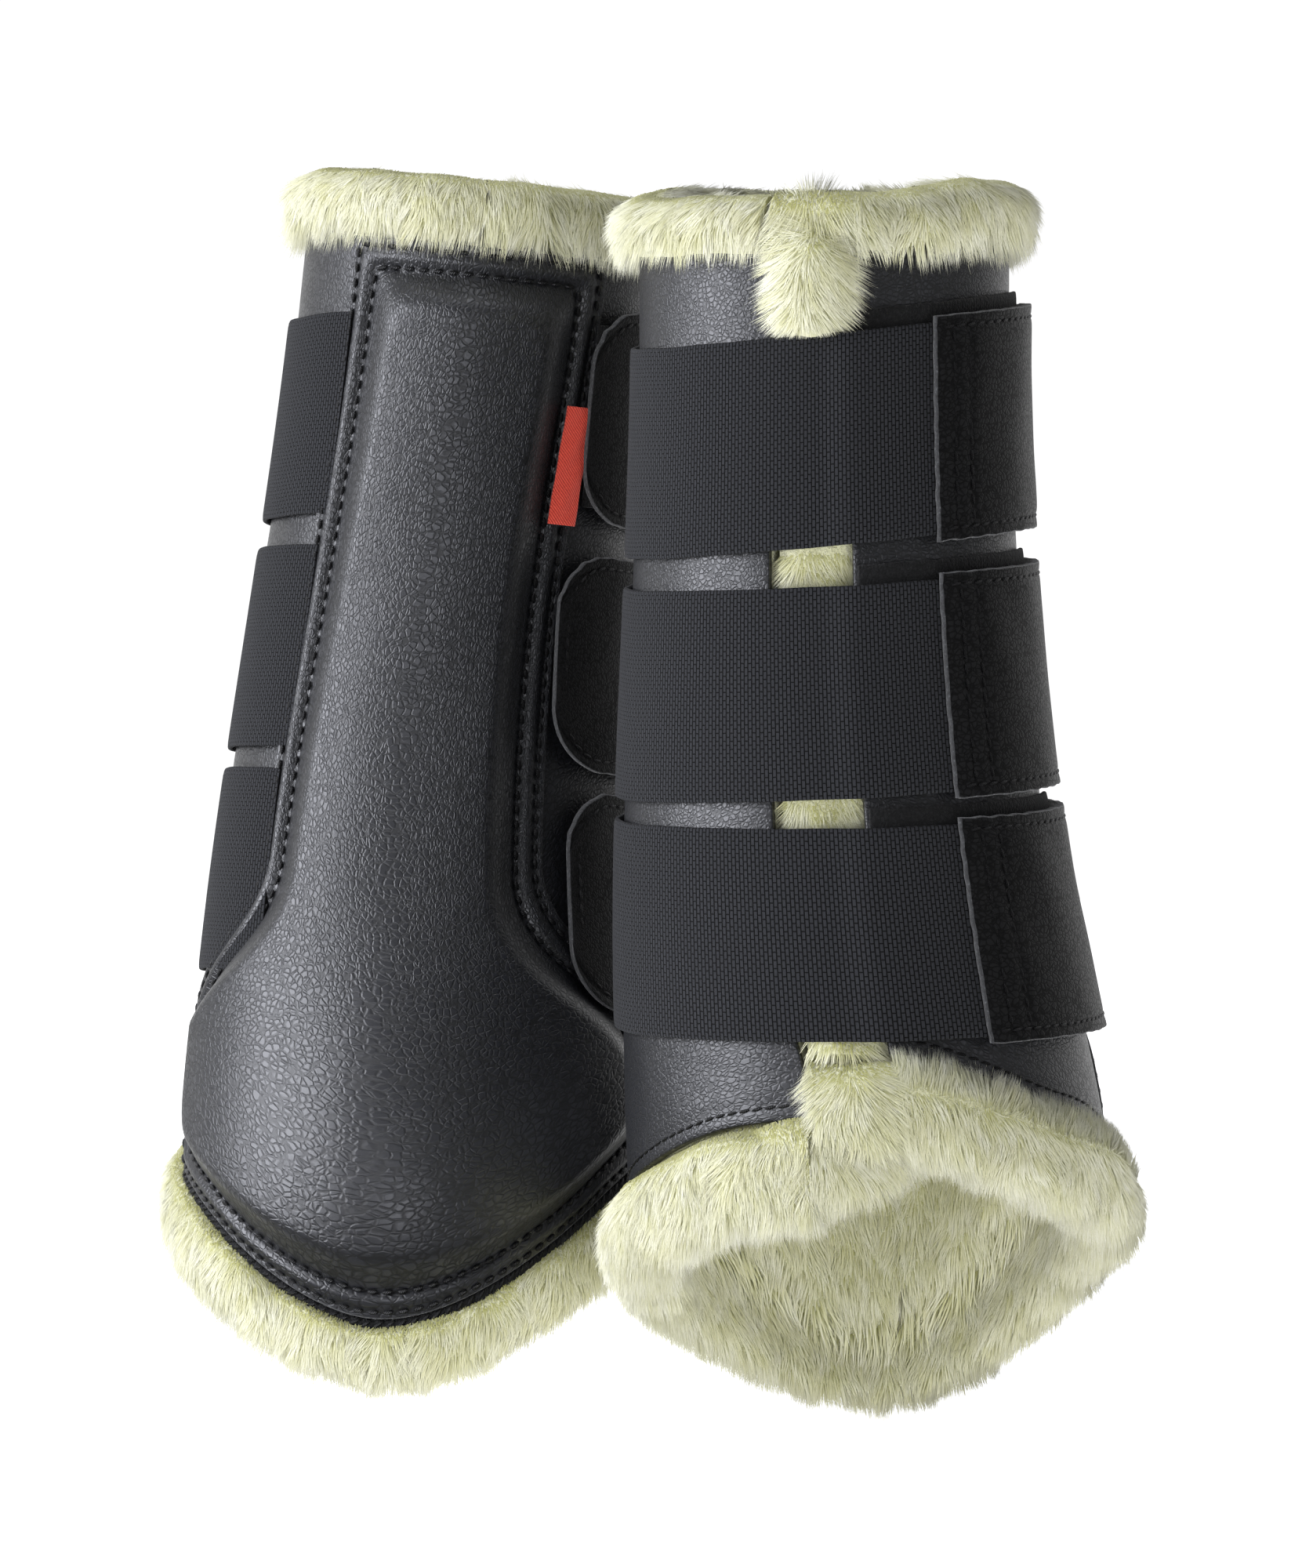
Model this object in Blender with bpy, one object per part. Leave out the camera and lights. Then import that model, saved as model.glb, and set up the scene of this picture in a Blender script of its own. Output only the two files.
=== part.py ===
"""Pair of fleece-lined tendon boots: strike pad, two wrap flaps and three elastic straps on each boot.

Each boot is laid out in its own frame in millimetres. An angle runs round the leg from the centre of the
strike pad (0 degrees) through the near flap, which carries the elastics, to the closure (180 degrees) and
back along the far flap. A height is counted from the lowest fleece, and an offset is counted outwards from
the outer face of the shell.
"""
import math

import bmesh
import bpy
from mathutils import Matrix, Vector

MM = 0.001
COLLECTION = "tendon_boots"

# leg form: half widths across and along the pad direction, at the top and gained by the flare
HALF_ACROSS = 44.0
HALF_ALONG = 43.0
FLARE_ACROSS = 13.0
FLARE_ALONG = 17.0
SHIFT_TO_PAD = 12.0
SHIFT_TO_FAR = 8.0
FLARE_START = 255.0
FLARE_LENGTH = 192.0
CURL_START = 50.0
CURL_ACROSS = 9.0
CURL_ALONG = 11.0

# shell panels
SHELL_TOP = 269.0
SHELL_LOW = 10.0
SHELL_THICK = 2.6
HINGE_ANGLE = 84.0
NEAR_EDGE = 172.0
NEAR_CORNER = 5.0
FAR_EDGE = -163.0
PANEL_ROWS = 8

# fleece lining
LINING_OUT = -3.2
LINING_IN = -13.0
ROLL_TOP = 18.5
ROLL_OUT = 7.0
ROLL_LOW = 14.5
ROLL_LOW_GAIN = 8.0
ROLL_LOW_OUT = 8.0
FRONT_ROLL_EDGE = -186.0

# strike pad
PAD_TOP = 268.0
PAD_RIM = 2.0
PAD_RISE = 5.6
PAD_SKIN = 1.2
PAD_BORDER = 6.5
PAD_RAMP = 10.0

# straps: lower edge at the closure, lift towards the far side
STRAP_WIDTH = 49.5
STRAPS = {"top": (199.5, 4.0), "middle": (141.0, 2.0), "bottom": (85.0, 0.5)}
STRAP_LIFT = 6.0
FOLD_ANGLE = 160.0
SEAM_ANGLE = 221.0
TAB_WIDTH = 52.5
TAB_CORNER = 15.0
TAB_ENDS = {"top": 321.5, "middle": 327.0, "bottom": 322.0}
HOOK_ENDS = {"top": 314.0, "middle": 319.0, "bottom": 278.0}

# placing of the two boots: side of the pad along Y, yaw, lean, offset from the right leg's mid height
PLACING = {
    "right": (1.0, -10.0, 0.0, (0.0, 0.0, -142.5)),
    "left": (-1.0, 0.0, 6.0, (-110.5, 110.0, -137.0)),
}

# surface finishes: base colour, roughness
FINISHES = {
    "leather": ((0.052, 0.053, 0.058), 0.52),
    "pad_leather": ((0.060, 0.061, 0.067), 0.50),
    "tab_leather": ((0.026, 0.026, 0.028), 0.58),
    "fleece": ((0.700, 0.690, 0.480), 0.95),
    "elastic": ((0.030, 0.031, 0.033), 0.90),
    "loop": ((0.010, 0.010, 0.010), 0.95),
    "hook": ((0.008, 0.008, 0.008), 0.80),
    "binding": ((0.012, 0.012, 0.013), 0.85),
    "plate": ((0.080, 0.080, 0.085), 0.45),
    "foam": ((0.250, 0.250, 0.260), 0.90),
    "label": ((0.780, 0.060, 0.030), 0.85),
}


def smooth(t):
    """Smooth step from 0 to 1."""
    t = min(max(t, 0.0), 1.0)
    return t * t * (3.0 - 2.0 * t)


def flare(z):
    """Share of the flare reached at a height, levelling off near the hem."""
    rise = max((FLARE_START - z) / FLARE_LENGTH, 0.0) ** 1.8
    return 1.12 * rise / (1.0 + rise ** 6) ** (1.0 / 6.0)


def form(angle, z, offset):
    """Point of the leg form as near-side, pad-side and height coordinates."""
    share = flare(z)
    curl = max((CURL_START - z) / CURL_START, 0.0) ** 2
    across = HALF_ACROSS + FLARE_ACROSS * share - CURL_ACROSS * curl + offset
    along = HALF_ALONG + FLARE_ALONG * share ** 2 - CURL_ALONG * curl + offset
    turn = math.radians(angle)
    near = across * math.sin(turn) - SHIFT_TO_FAR * share ** 2
    pad = along * math.cos(turn) + SHIFT_TO_PAD * share ** 2
    return near, pad, z


def hem(angle):
    """Height of the shell's lower edge: lowest beside the pad, highest at the closure."""
    turn = angle - 10.0
    if turn >= 0.0:
        drop = 5.0 * smooth((turn - 45.0) / 45.0) * (1.0 - smooth((turn - 105.0) / 55.0))
        return SHELL_LOW + 59.5 * (1.0 - math.exp(-(turn / 82.0) ** 1.75)) - drop
    drop = 6.0 * smooth((-turn - 55.0) / 45.0) * (1.0 - smooth((-turn - 120.0) / 50.0))
    return SHELL_LOW + 72.5 * (1.0 - math.exp(-(turn / 73.0) ** 2)) - drop


def pad_middle(z):
    """Angle of the pad's centre line, which drifts towards the near side lower down."""
    return 10.5 * (1.0 - math.exp(-(max(264.0 - z, 0.0) / 95.0) ** 1.5))


def pad_share(angle, z):
    """Share of the height between hem and pad top."""
    low = hem(angle)
    return (z - low) / (PAD_TOP - low)


def pad_half(share):
    """Half angle of the pad: a narrow column that flares into a round cup."""
    cup = smooth((0.39 - share) / 0.29)
    corner = max(1.0 - share / 0.07, 0.0) ** 2
    return 40.5 + 38.5 * cup - 10.0 * corner + 2.5 * smooth((share - 0.6) / 0.4)


def pad_edge(share, z, side):
    """Angle of the pad's edge at a share of its height; it stops short of the hinge lines."""
    edge = pad_middle(z) + side * pad_half(share)
    return min(max(edge, 1.6 - HINGE_ANGLE), HINGE_ANGLE - 1.6)


def pad_outline(z, side):
    """Angle of the pad's edge at a height, on the near (+1) or far (-1) side."""
    angle = pad_middle(z) + side * 45.0
    for _ in range(12):
        angle = pad_edge(pad_share(angle, z), z, side)
    return angle


def pad_height(angle, z):
    """Offset of the pad's outer face: a flat stitched border, then a padded rise."""
    share = pad_share(angle, z)
    middle = pad_middle(z)
    edge = pad_edge(share, z, 1.0 if angle > middle else -1.0)
    inside = (edge - angle) / (edge - middle)
    if inside < 0.0 or share < 0.0:
        return 0.0
    side = inside * math.radians(abs(edge - middle)) * (HALF_ACROSS + FLARE_ACROSS * flare(z))
    depth = min(side, z - hem(angle), PAD_TOP - z)
    return PAD_RIM + PAD_RISE * smooth((depth - PAD_BORDER) / PAD_RAMP)


def strap_low(name, angle):
    """Height of a strap's lower edge, which climbs a little round the cone of the boot."""
    base, tilt = STRAPS[name]
    turn = math.radians(angle)
    return base + STRAP_LIFT * 0.5 * (1.0 + math.cos(turn)) - tilt * math.sin(turn)


class Boot:
    """One boot of the pair: its name, mirror side and place."""

    def __init__(self, name):
        side, yaw, lean, offset = PLACING[name]
        self.name = name
        self.side = side
        turn = Matrix.Rotation(math.radians(yaw), 4, "Z") @ Matrix.Rotation(math.radians(lean), 4, "Y")
        self.matrix = Matrix.Translation(Vector(offset)) @ turn

    def point(self, angle, z, offset):
        """World point in metres for an angle, height and offset."""
        near, pad, height = form(angle, z, offset)
        return (self.matrix @ Vector((-near, pad * self.side, height))) * MM

    def hinge(self, angle, low, high, offset):
        """Two world points of a straight line laid along the form."""
        return self.point(angle, low, offset), self.point(angle, high, offset)

    def axes(self):
        """Hinge lines of the boot's moving bodies."""
        lines = {
            "core": self.hinge(0.0, 60.0, 275.0, 0.0),
            "near_flap": self.hinge(HINGE_ANGLE, 60.0, 275.0, 8.0),
            "far_flap": self.hinge(-HINGE_ANGLE, 60.0, 275.0, 8.0),
        }
        low, high = self.hinge(SEAM_ANGLE, 85.0, 250.0, 0.0)
        half = (high - low).normalized() * 0.5 * STRAP_WIDTH * MM
        for strap in STRAPS:
            fold = strap_low(strap, FOLD_ANGLE)
            seam = strap_low(strap, SEAM_ANGLE) + 0.5 * STRAP_WIDTH
            middle = self.point(SEAM_ANGLE, seam, 6.0)
            lines["strap_" + strap] = self.hinge(FOLD_ANGLE, fold, fold + STRAP_WIDTH, 2.6)
            lines["tab_" + strap] = (middle - half, middle + half)
        return lines


def slab(columns, rows, shape):
    """Closed curved slab: a flat grid is thickened, then every corner is placed by shape(u, v, w)."""
    mesh = bmesh.new()
    bmesh.ops.create_grid(mesh, x_segments=columns, y_segments=rows, size=0.5)
    bmesh.ops.solidify(mesh, geom=mesh.faces[:], thickness=1.0)
    for vert in mesh.verts:
        vert.co = shape(vert.co.x + 0.5, vert.co.y + 0.5, min(abs(vert.co.z), 1.0))
    return mesh


def finish_object(boot, body, name, finish, mesh):
    """Turn a mesh into a named object whose origin lies on its body's joint axis."""
    bmesh.ops.recalc_face_normals(mesh, faces=mesh.faces[:])
    if mesh.calc_volume(signed=True) < 0.0:
        bmesh.ops.reverse_faces(mesh, faces=mesh.faces[:])
    low, high = boot.axes()[body]
    origin = (low + high) * 0.5
    bmesh.ops.translate(mesh, verts=mesh.verts[:], vec=-origin)
    node = boot.name + "_" + name
    data = bpy.data.meshes.new(node)
    mesh.to_mesh(data)
    mesh.free()
    data.materials.append(material(finish))
    item = bpy.data.objects.new(node, data)
    item.location = origin
    bpy.data.collections[COLLECTION].objects.link(item)
    return item


def material(finish):
    """Principled material of a finish, made once."""
    if finish in bpy.data.materials:
        return bpy.data.materials[finish]
    colour, roughness = FINISHES[finish]
    made = bpy.data.materials.new(finish)
    made.use_nodes = True
    shader = made.node_tree.nodes["Principled BSDF"]
    shader.inputs["Base Color"].default_value = (*colour, 1.0)
    shader.inputs["Roughness"].default_value = roughness
    shader.inputs["Metallic"].default_value = 0.0
    return made


def panel_columns(start, end):
    """Number of facets round a panel."""
    return max(int(round(abs(end - start) / 12.0)), 2)


def near_edge(z):
    """Angle of the near panel's front edge, whose corner runs further round below the bottom strap."""
    return NEAR_EDGE + NEAR_CORNER * smooth((100.0 - z) / 30.0)


def follow_edge(angle, z):
    """Shift an angle near the closure so that panel and fleece keep clear of each other low down."""
    corner = near_edge(z) - NEAR_EDGE
    if angle > 0.0:
        return angle + corner * smooth((angle - 150.0) / (NEAR_EDGE - 150.0))
    return angle + corner * smooth((FAR_EDGE - angle) / (FAR_EDGE - FRONT_ROLL_EDGE))


def build_shell(boot, body, name, start, end):
    """Synthetic leather panel between two angles."""
    def shape(u, v, w):
        angle = start + (end - start) * u
        z = hem(angle) + (SHELL_TOP - hem(angle)) * v
        return boot.point(follow_edge(angle, z), z, -SHELL_THICK * w)
    mesh = slab(panel_columns(start, end), PANEL_ROWS, shape)
    return finish_object(boot, body, name, "leather", mesh)


def oval(turn):
    """Unit superellipse, fuller than a circle in its corners."""
    c = math.cos(math.radians(turn))
    s = math.sin(math.radians(turn))
    return math.copysign(abs(c) ** 0.75, c), math.copysign(abs(s) ** 0.75, s)


def lining_rows(angle, wall, lip):
    """Height, outer and inner offset of each row of the fleece: hem roll, wall, top roll."""
    low = hem(angle)
    height = ROLL_LOW + ROLL_LOW_GAIN * smooth(abs(angle - 10.0) / 60.0)
    half = 0.5 * (height - lip)
    middle = 0.5 * (ROLL_LOW_OUT + LINING_IN)
    reach = 0.5 * (ROLL_LOW_OUT - LINING_IN)
    rows = []
    for turn in (-84.0, -45.0, -5.0, 35.0, 84.0):
        c, s = oval(turn)
        inner = middle - reach * c if turn < 0.0 else LINING_IN
        rows.append((low - lip - half + half * s, middle + reach * c, inner))
    for row in range(PANEL_ROWS + 1):
        lift = 0.2 - lip if row == 0 else 0.3 * row / PANEL_ROWS
        rows.append((low + (SHELL_TOP - low) * row / PANEL_ROWS + lift, wall, LINING_IN))
    middle = 0.5 * (ROLL_OUT + LINING_IN - 1.0)
    reach = 0.5 * (ROLL_OUT - LINING_IN + 1.0)
    for turn in (-84.0, -42.0, 0.0, 42.0, 84.0):
        c, s = oval(turn)
        inner = middle - reach * c if turn > 0.0 else LINING_IN - 1.0
        rows.append((SHELL_TOP + 0.5 + 0.5 * ROLL_TOP * (1.0 + s), middle + reach * c, inner))
    return rows


def build_lining(boot, body, name, stations, lip):
    """Long-pile fleece behind a panel, rolled over its top and bottom edges."""
    sections = [lining_rows(angle, wall, lip) for angle, wall in stations]
    columns = len(stations) - 1
    rows = len(sections[0]) - 1

    def shape(u, v, w):
        station = int(round(u * columns))
        z, outer, inner = sections[station][int(round(v * rows))]
        angle = follow_edge(stations[station][0], z)
        return boot.point(angle, z, outer if w < 0.5 else inner)
    return finish_object(boot, body, name, "fleece", slab(columns, rows, shape))


def even_stations(start, end):
    """Stations of a lining that stays behind its shell."""
    count = panel_columns(start, end)
    return [(start + (end - start) * step / count, LINING_OUT) for step in range(count + 1)]


def pad_point(u, v):
    """Angle and height of the pad's own coordinates, u across and v upwards."""
    angle = 0.0
    z = SHELL_LOW
    for _ in range(12):
        low = hem(angle) + 0.4
        z = low + (PAD_TOP - low) * v
        angle = pad_middle(z)
        angle += abs(u) * (pad_edge(v, z, math.copysign(1.0, u)) - angle)
    return angle, z


def build_pad(boot):
    """Moulded strike pad: stitched leather cover over a foam cushion and a hard plate."""
    def cover(u, v, w):
        across = 2.0 * u - 1.0
        across = math.copysign(abs(across) ** 0.85, across)
        angle, z = pad_point(across, v)
        inner = (1.0 - abs(across)) < 1e-6
        height = PAD_RIM if inner else max(pad_height(angle, z), PAD_RIM)
        return boot.point(angle, z, height - PAD_SKIN * w)
    finish_object(boot, "core", "pad_cover", "pad_leather", slab(14, 16, cover))

    def layer(low, high_of):
        def shape(u, v, w):
            angle, z = pad_point((2.0 * u - 1.0) * 0.58, 0.075 + 0.87 * v)
            return boot.point(angle, z, low if w > 0.5 else high_of(angle, z))
        return shape
    plate = layer(0.8, lambda angle, z: 2.0)
    finish_object(boot, "core", "pad_plate", "plate", slab(8, 12, plate))
    foam = layer(2.4, lambda angle, z: max(pad_height(angle, z) - PAD_SKIN - 1.2, 2.7))
    finish_object(boot, "core", "pad_foam", "foam", slab(8, 12, foam))


def build_trim(boot):
    """Binding under the pad and the woven tape on the pad's far seam."""
    def binding(u, v, w):
        angle = (2.0 * u - 1.0) * (HINGE_ANGLE - 0.2)
        return boot.point(angle, hem(angle) - 4.7 + 4.4 * v, 1.2 - 3.2 * w)
    finish_object(boot, "core", "pad_binding", "binding", slab(panel_columns(-HINGE_ANGLE, HINGE_ANGLE), 1, binding))

    def label(u, v, w):
        z = 205.0 + 29.0 * v
        angle = pad_outline(z, -1.0) + 0.3 + 7.0 * u
        return boot.point(angle, z, 3.2 - 0.7 * w)
    finish_object(boot, "core", "label", "label", slab(2, 3, label))


def elastic_base(angle):
    """Offset of an elastic's inner face, which climbs over the loop tape past the closure."""
    return 0.8 + 1.3 * smooth((angle - 187.0) / 9.5)


def build_band(boot, body, name, finish, strap, span, thickness, steps=(0.0, STRAP_WIDTH)):
    """Elastic or tape following a strap between two angles; the start may vary with height."""
    start_of, end, base_of = span

    def shape(u, v, w):
        z = strap_low(strap, end) + steps[0] + steps[1] * v
        start = start_of(z)
        angle = start + (end - start) * u
        z = strap_low(strap, angle) + steps[0] + steps[1] * v
        return boot.point(angle, z, base_of(angle) + thickness * (1.0 - w))
    columns = max(int(round(abs(end - start_of(strap_low(strap, end))) / 8.5)), 3)
    mesh = slab(columns, 3, shape)
    return finish_object(boot, body, name + "_" + strap, finish, mesh)


def build_elastics(boot, strap):
    """The strap's elastic in three lengths that fold against each other, and the loop tape it crosses."""
    root = (lambda z: pad_outline(z, 1.0) + 1.2, HINGE_ANGLE - 0.5, elastic_base)
    side = (lambda z: HINGE_ANGLE + 0.9, FOLD_ANGLE - 0.3, elastic_base)
    front = (lambda z: FOLD_ANGLE + 0.3, SEAM_ANGLE - 0.5, elastic_base)
    loop = (lambda z: 198.0, 274.5, lambda angle: 0.5)
    build_band(boot, "core", "elastic_root", "elastic", strap, root, 1.4)
    build_band(boot, "near_flap", "elastic_side", "elastic", strap, side, 1.4)
    build_band(boot, "strap_" + strap, "elastic_front", "elastic", strap, front, 1.4)
    build_band(boot, "far_flap", "loop", "loop", strap, loop, 1.1, (4.5, STRAP_WIDTH))


def tab_base(angle, z):
    """Offset of a tab's inner face, which rides up over the pad's border."""
    return 3.7 + max(pad_height(angle - 360.0, z) - 3.0, 0.0)


def build_tab(boot, strap):
    """Leather end of a strap with rounded corners."""
    start = SEAM_ANGLE + 0.5
    end = TAB_ENDS[strap]
    length = math.radians(end - start) * 50.0

    def shape(u, v, w):
        share = 1.0 - (1.0 - u) ** 1.35
        angle = start + (end - start) * share
        past = max(length * share - (length - TAB_CORNER), 0.0)
        cut = TAB_CORNER - math.sqrt(max(TAB_CORNER ** 2 - past ** 2, 0.0))
        z = strap_low(strap, angle) - 1.5 + cut + (TAB_WIDTH - 2.0 * cut) * v
        return boot.point(angle, z, tab_base(angle, z) + 1.6 * (1.0 - w))
    mesh = slab(14, 4, shape)
    return finish_object(boot, "tab_" + strap, "tab_" + strap, "tab_leather", mesh)


def build_hook(boot, strap):
    """Hook tape sewn under a tab."""
    span = (lambda z: SEAM_ANGLE + 4.0, HOOK_ENDS[strap], lambda angle: 2.2)
    return build_band(boot, "tab_" + strap, "hook", "hook", strap, span, 1.1, (2.5, STRAP_WIDTH - 5.0))


def build_boot(name):
    """All the pieces of one boot."""
    boot = Boot(name)
    gap = 0.2
    build_shell(boot, "core", "shell_back", -HINGE_ANGLE + gap, HINGE_ANGLE - gap)
    build_shell(boot, "near_flap", "shell_near", HINGE_ANGLE + gap, NEAR_EDGE)
    build_shell(boot, "far_flap", "shell_far", -HINGE_ANGLE - gap, FAR_EDGE)
    build_lining(boot, "core", "lining_back", even_stations(-HINGE_ANGLE + gap, HINGE_ANGLE - gap), 5.0)
    build_lining(boot, "near_flap", "lining_near", even_stations(HINGE_ANGLE + gap, NEAR_EDGE), 0.5)
    front = [(FAR_EDGE - 0.4 - step, -0.3) for step in (0.2, 8.0, 15.5, FAR_EDGE - FRONT_ROLL_EDGE - 0.4)]
    far = even_stations(-HINGE_ANGLE - gap, FAR_EDGE) + front
    build_lining(boot, "far_flap", "lining_far", far, 0.5)
    build_pad(boot)
    build_trim(boot)
    for strap in STRAPS:
        build_elastics(boot, strap)
        build_tab(boot, strap)
        build_hook(boot, strap)


def clear_scene():
    """Remove everything from the scene and make the two collections."""
    for item in list(bpy.data.objects):
        bpy.data.objects.remove(item, do_unlink=True)
    for name in (COLLECTION, "cutters"):
        group = bpy.data.collections.new(name)
        bpy.context.scene.collection.children.link(group)


def main():
    """Build the pair."""
    clear_scene()
    for name in PLACING:
        build_boot(name)


main()
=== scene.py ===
"""Looks of a pair of fleece-lined tendon boots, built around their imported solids.

Each boot is laid out in its own frame in millimetres. An angle runs round the leg from the centre of the
strike pad (0 degrees) through the near flap, which carries the elastics, to the closure (180 degrees) and
back along the far flap. A height is counted from the lowest fleece, and an offset is counted outwards from
the outer face of the shell. Pieces are cut and thickened flat, in millimetres, then laid round the leg.
"""

import math

import bpy
import numpy as np
from mathutils import Matrix, Vector
from mathutils.kdtree import KDTree


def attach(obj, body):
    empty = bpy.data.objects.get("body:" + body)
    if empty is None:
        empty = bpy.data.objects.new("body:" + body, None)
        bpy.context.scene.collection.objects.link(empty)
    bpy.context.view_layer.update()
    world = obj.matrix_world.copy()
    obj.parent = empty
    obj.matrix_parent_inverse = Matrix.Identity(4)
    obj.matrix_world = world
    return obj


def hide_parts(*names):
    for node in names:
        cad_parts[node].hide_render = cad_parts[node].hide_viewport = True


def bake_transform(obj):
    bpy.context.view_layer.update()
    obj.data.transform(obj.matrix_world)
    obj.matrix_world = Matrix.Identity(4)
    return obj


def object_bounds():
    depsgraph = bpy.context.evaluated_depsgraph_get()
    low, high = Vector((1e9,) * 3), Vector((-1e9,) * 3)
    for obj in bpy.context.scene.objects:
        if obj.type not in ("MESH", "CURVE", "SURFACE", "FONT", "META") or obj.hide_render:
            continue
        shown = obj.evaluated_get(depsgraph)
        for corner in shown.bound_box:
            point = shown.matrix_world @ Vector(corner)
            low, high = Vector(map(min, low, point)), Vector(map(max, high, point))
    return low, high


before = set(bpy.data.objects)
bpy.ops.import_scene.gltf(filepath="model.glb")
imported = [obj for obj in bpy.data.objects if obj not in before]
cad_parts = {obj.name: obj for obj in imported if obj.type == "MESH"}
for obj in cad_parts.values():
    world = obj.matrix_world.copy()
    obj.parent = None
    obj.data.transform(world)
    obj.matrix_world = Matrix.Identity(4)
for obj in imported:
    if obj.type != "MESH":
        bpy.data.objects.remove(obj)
cad_low, cad_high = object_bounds()

MM = 0.001
CUT = "cut"  # map of every piece: where a point lay on the flat piece, in millimetres

# leg form, as in the solids
HALF_ACROSS = 44.0
HALF_ALONG = 43.0
FLARE_ACROSS = 13.0
FLARE_ALONG = 17.0
SHIFT_TO_PAD = 12.0
SHIFT_TO_FAR = 8.0
FLARE_START = 255.0
FLARE_LENGTH = 192.0
CURL_START = 50.0
CURL_ACROSS = 9.0
CURL_ALONG = 11.0
SHELL_TOP = 271.0
SHELL_LOW = 10.0
SHELL_THICK = 2.6
HEM_MIDDLE = 10.0  # angle of the hem's lowest point
HEM_RISE_NEAR = 59.5
HEM_RISE_FAR = 72.5
HEM_DIP_NEAR = 5.0
HEM_DIP_FAR = 9.5
HEM_ROW = 3.4  # sewn row above the hem
HINGE_ANGLE = 84.0
NEAR_EDGE = 172.0
NEAR_CORNER = 5.0
FAR_EDGE = -163.0
FRONT_EDGE = -186.0
LINING_IN = -13.0
PAD_TOP = 270.0
PAD_RIM = 2.0
PAD_RISE = 5.6
PAD_BORDER = 7.2
PAD_RAMP = 9.3
PAD_TURN = 10.5  # how far the pad's centre line swings round, low down
PAD_COLUMN = 40.5  # half angle of the pad's column
PAD_CUP = 38.5  # what the cup adds to it
PAD_THICK = 1.2
OUTER_ROW = 2.0  # sewn rows, inside the pad's edge
INNER_ROW = 7.0
STRAP_WIDTH = 49.5
STRAPS = {"top": (199.5, 4.0), "middle": (141.0, 2.0), "bottom": (85.0, 0.5)}
STRAP_LIFT = 6.0
FOLD_ANGLE = 160.0
SEAM_ANGLE = 221.0
ELASTIC_THICK = 1.4
TAB_WIDTH = 52.5
TAB_CORNER = 15.0
TAB_THICK = 1.6
TAB_SEAM = 2.8  # sewn row inside a tab's edge
TAB_ROWS = (5.5, 10.5)  # sewn rows across a tab, from its seam
TAB_ENDS = {"top": 321.5, "middle": 327.0, "bottom": 322.0}
HOOK_ENDS = {"top": 328.5, "middle": 319.0, "bottom": 278.0}
PLACING = {  # mirror side, turn and lean in degrees, place of the boot's foot
    "right": (1.0, -10.0, 0.0, (0.0, 0.0, -142.5)),
    "left": (-1.0, 0.0, 6.0, (-110.5, 110.0, -137.0)),
}
ROUND = 50.0  # radius that turns an angle into a length along a piece


def smooth(t):
    """Smooth step from 0 to 1."""
    t = np.clip(t, 0.0, 1.0)
    return t * t * (3.0 - 2.0 * t)


def flare(z):
    """Share of the flare reached at a height."""
    rise = np.maximum((FLARE_START - z) / FLARE_LENGTH, 0.0) ** 1.8
    return 1.12 * rise / (1.0 + rise ** 6) ** (1.0 / 6.0)


def hem(angle):
    """Height of the shell's lower edge."""
    turn = angle - HEM_MIDDLE
    near = HEM_RISE_NEAR * (1.0 - np.exp(-(np.maximum(turn, 0.0) / 82.0) ** 1.75))
    near = near - HEM_DIP_NEAR * smooth((turn - 45.0) / 45.0) * (1.0 - smooth((turn - 105.0) / 55.0))
    far = HEM_RISE_FAR * (1.0 - np.exp(-(turn / 73.0) ** 2))
    far = far - HEM_DIP_FAR * smooth((-turn - 55.0) / 45.0) * (1.0 - smooth((-turn - 124.0) / 49.0))
    return SHELL_LOW + np.where(turn >= 0.0, near, far)


def pad_middle(z):
    """Angle of the pad's centre line."""
    return PAD_TURN * (1.0 - np.exp(-(np.maximum(264.0 - z, 0.0) / 95.0) ** 1.5))


def pad_share(angle, z):
    """Share of the height between hem and pad top."""
    low = hem(angle)
    return (z - low) / (PAD_TOP - low)


def pad_half(share):
    """Half angle of the pad: a narrow column that flares into a round cup."""
    cup = smooth((0.39 - share) / 0.29)
    corner = np.maximum(1.0 - share / 0.07, 0.0) ** 2
    return PAD_COLUMN + PAD_CUP * cup - 10.0 * corner + 2.5 * smooth((share - 0.6) / 0.4)


def pad_edge(share, z, side):
    """Angle of the pad's edge at a share of its height."""
    edge = pad_middle(z) + side * pad_half(share)
    return np.clip(edge, 1.6 - HINGE_ANGLE, HINGE_ANGLE - 1.6)


def pad_outline(z, side):
    """Angle of the pad's edge at a height, on the near (+1) or far (-1) side."""
    angle = pad_middle(z) + side * 45.0
    for _ in range(12):
        angle = pad_edge(pad_share(angle, z), z, side)
    return angle


def pad_depth(angle, z):
    """Distance inside the pad's edge, rounded off in its corners."""
    share = pad_share(angle, z)
    middle = pad_middle(z)
    edge = pad_edge(share, z, np.where(angle > middle, 1.0, -1.0))
    inside = (edge - angle) / (edge - middle)
    side = inside * np.radians(np.abs(edge - middle)) * (HALF_ACROSS + FLARE_ACROSS * flare(z))
    near = np.maximum(np.stack([side, z - hem(angle), PAD_TOP - z]), 0.01)
    return (near ** -5.0).sum(axis=0) ** -0.2


def pad_height(angle, z):
    """Offset of the pad's outer face: a flat stitched border, then a padded rise."""
    return PAD_RIM + PAD_RISE * smooth((pad_depth(angle, z) - PAD_BORDER) / PAD_RAMP)


def pad_point(u, v):
    """Angle and height of the pad's own coordinates, u across from -1 to 1 and v upwards."""
    angle = np.zeros_like(u)
    for _ in range(12):
        low = hem(angle) + 0.4
        z = low + (PAD_TOP - low) * v
        angle = pad_middle(z)
        angle = angle + np.abs(u) * (pad_edge(v, z, np.where(u < 0.0, -1.0, 1.0)) - angle)
    return angle, z


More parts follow.
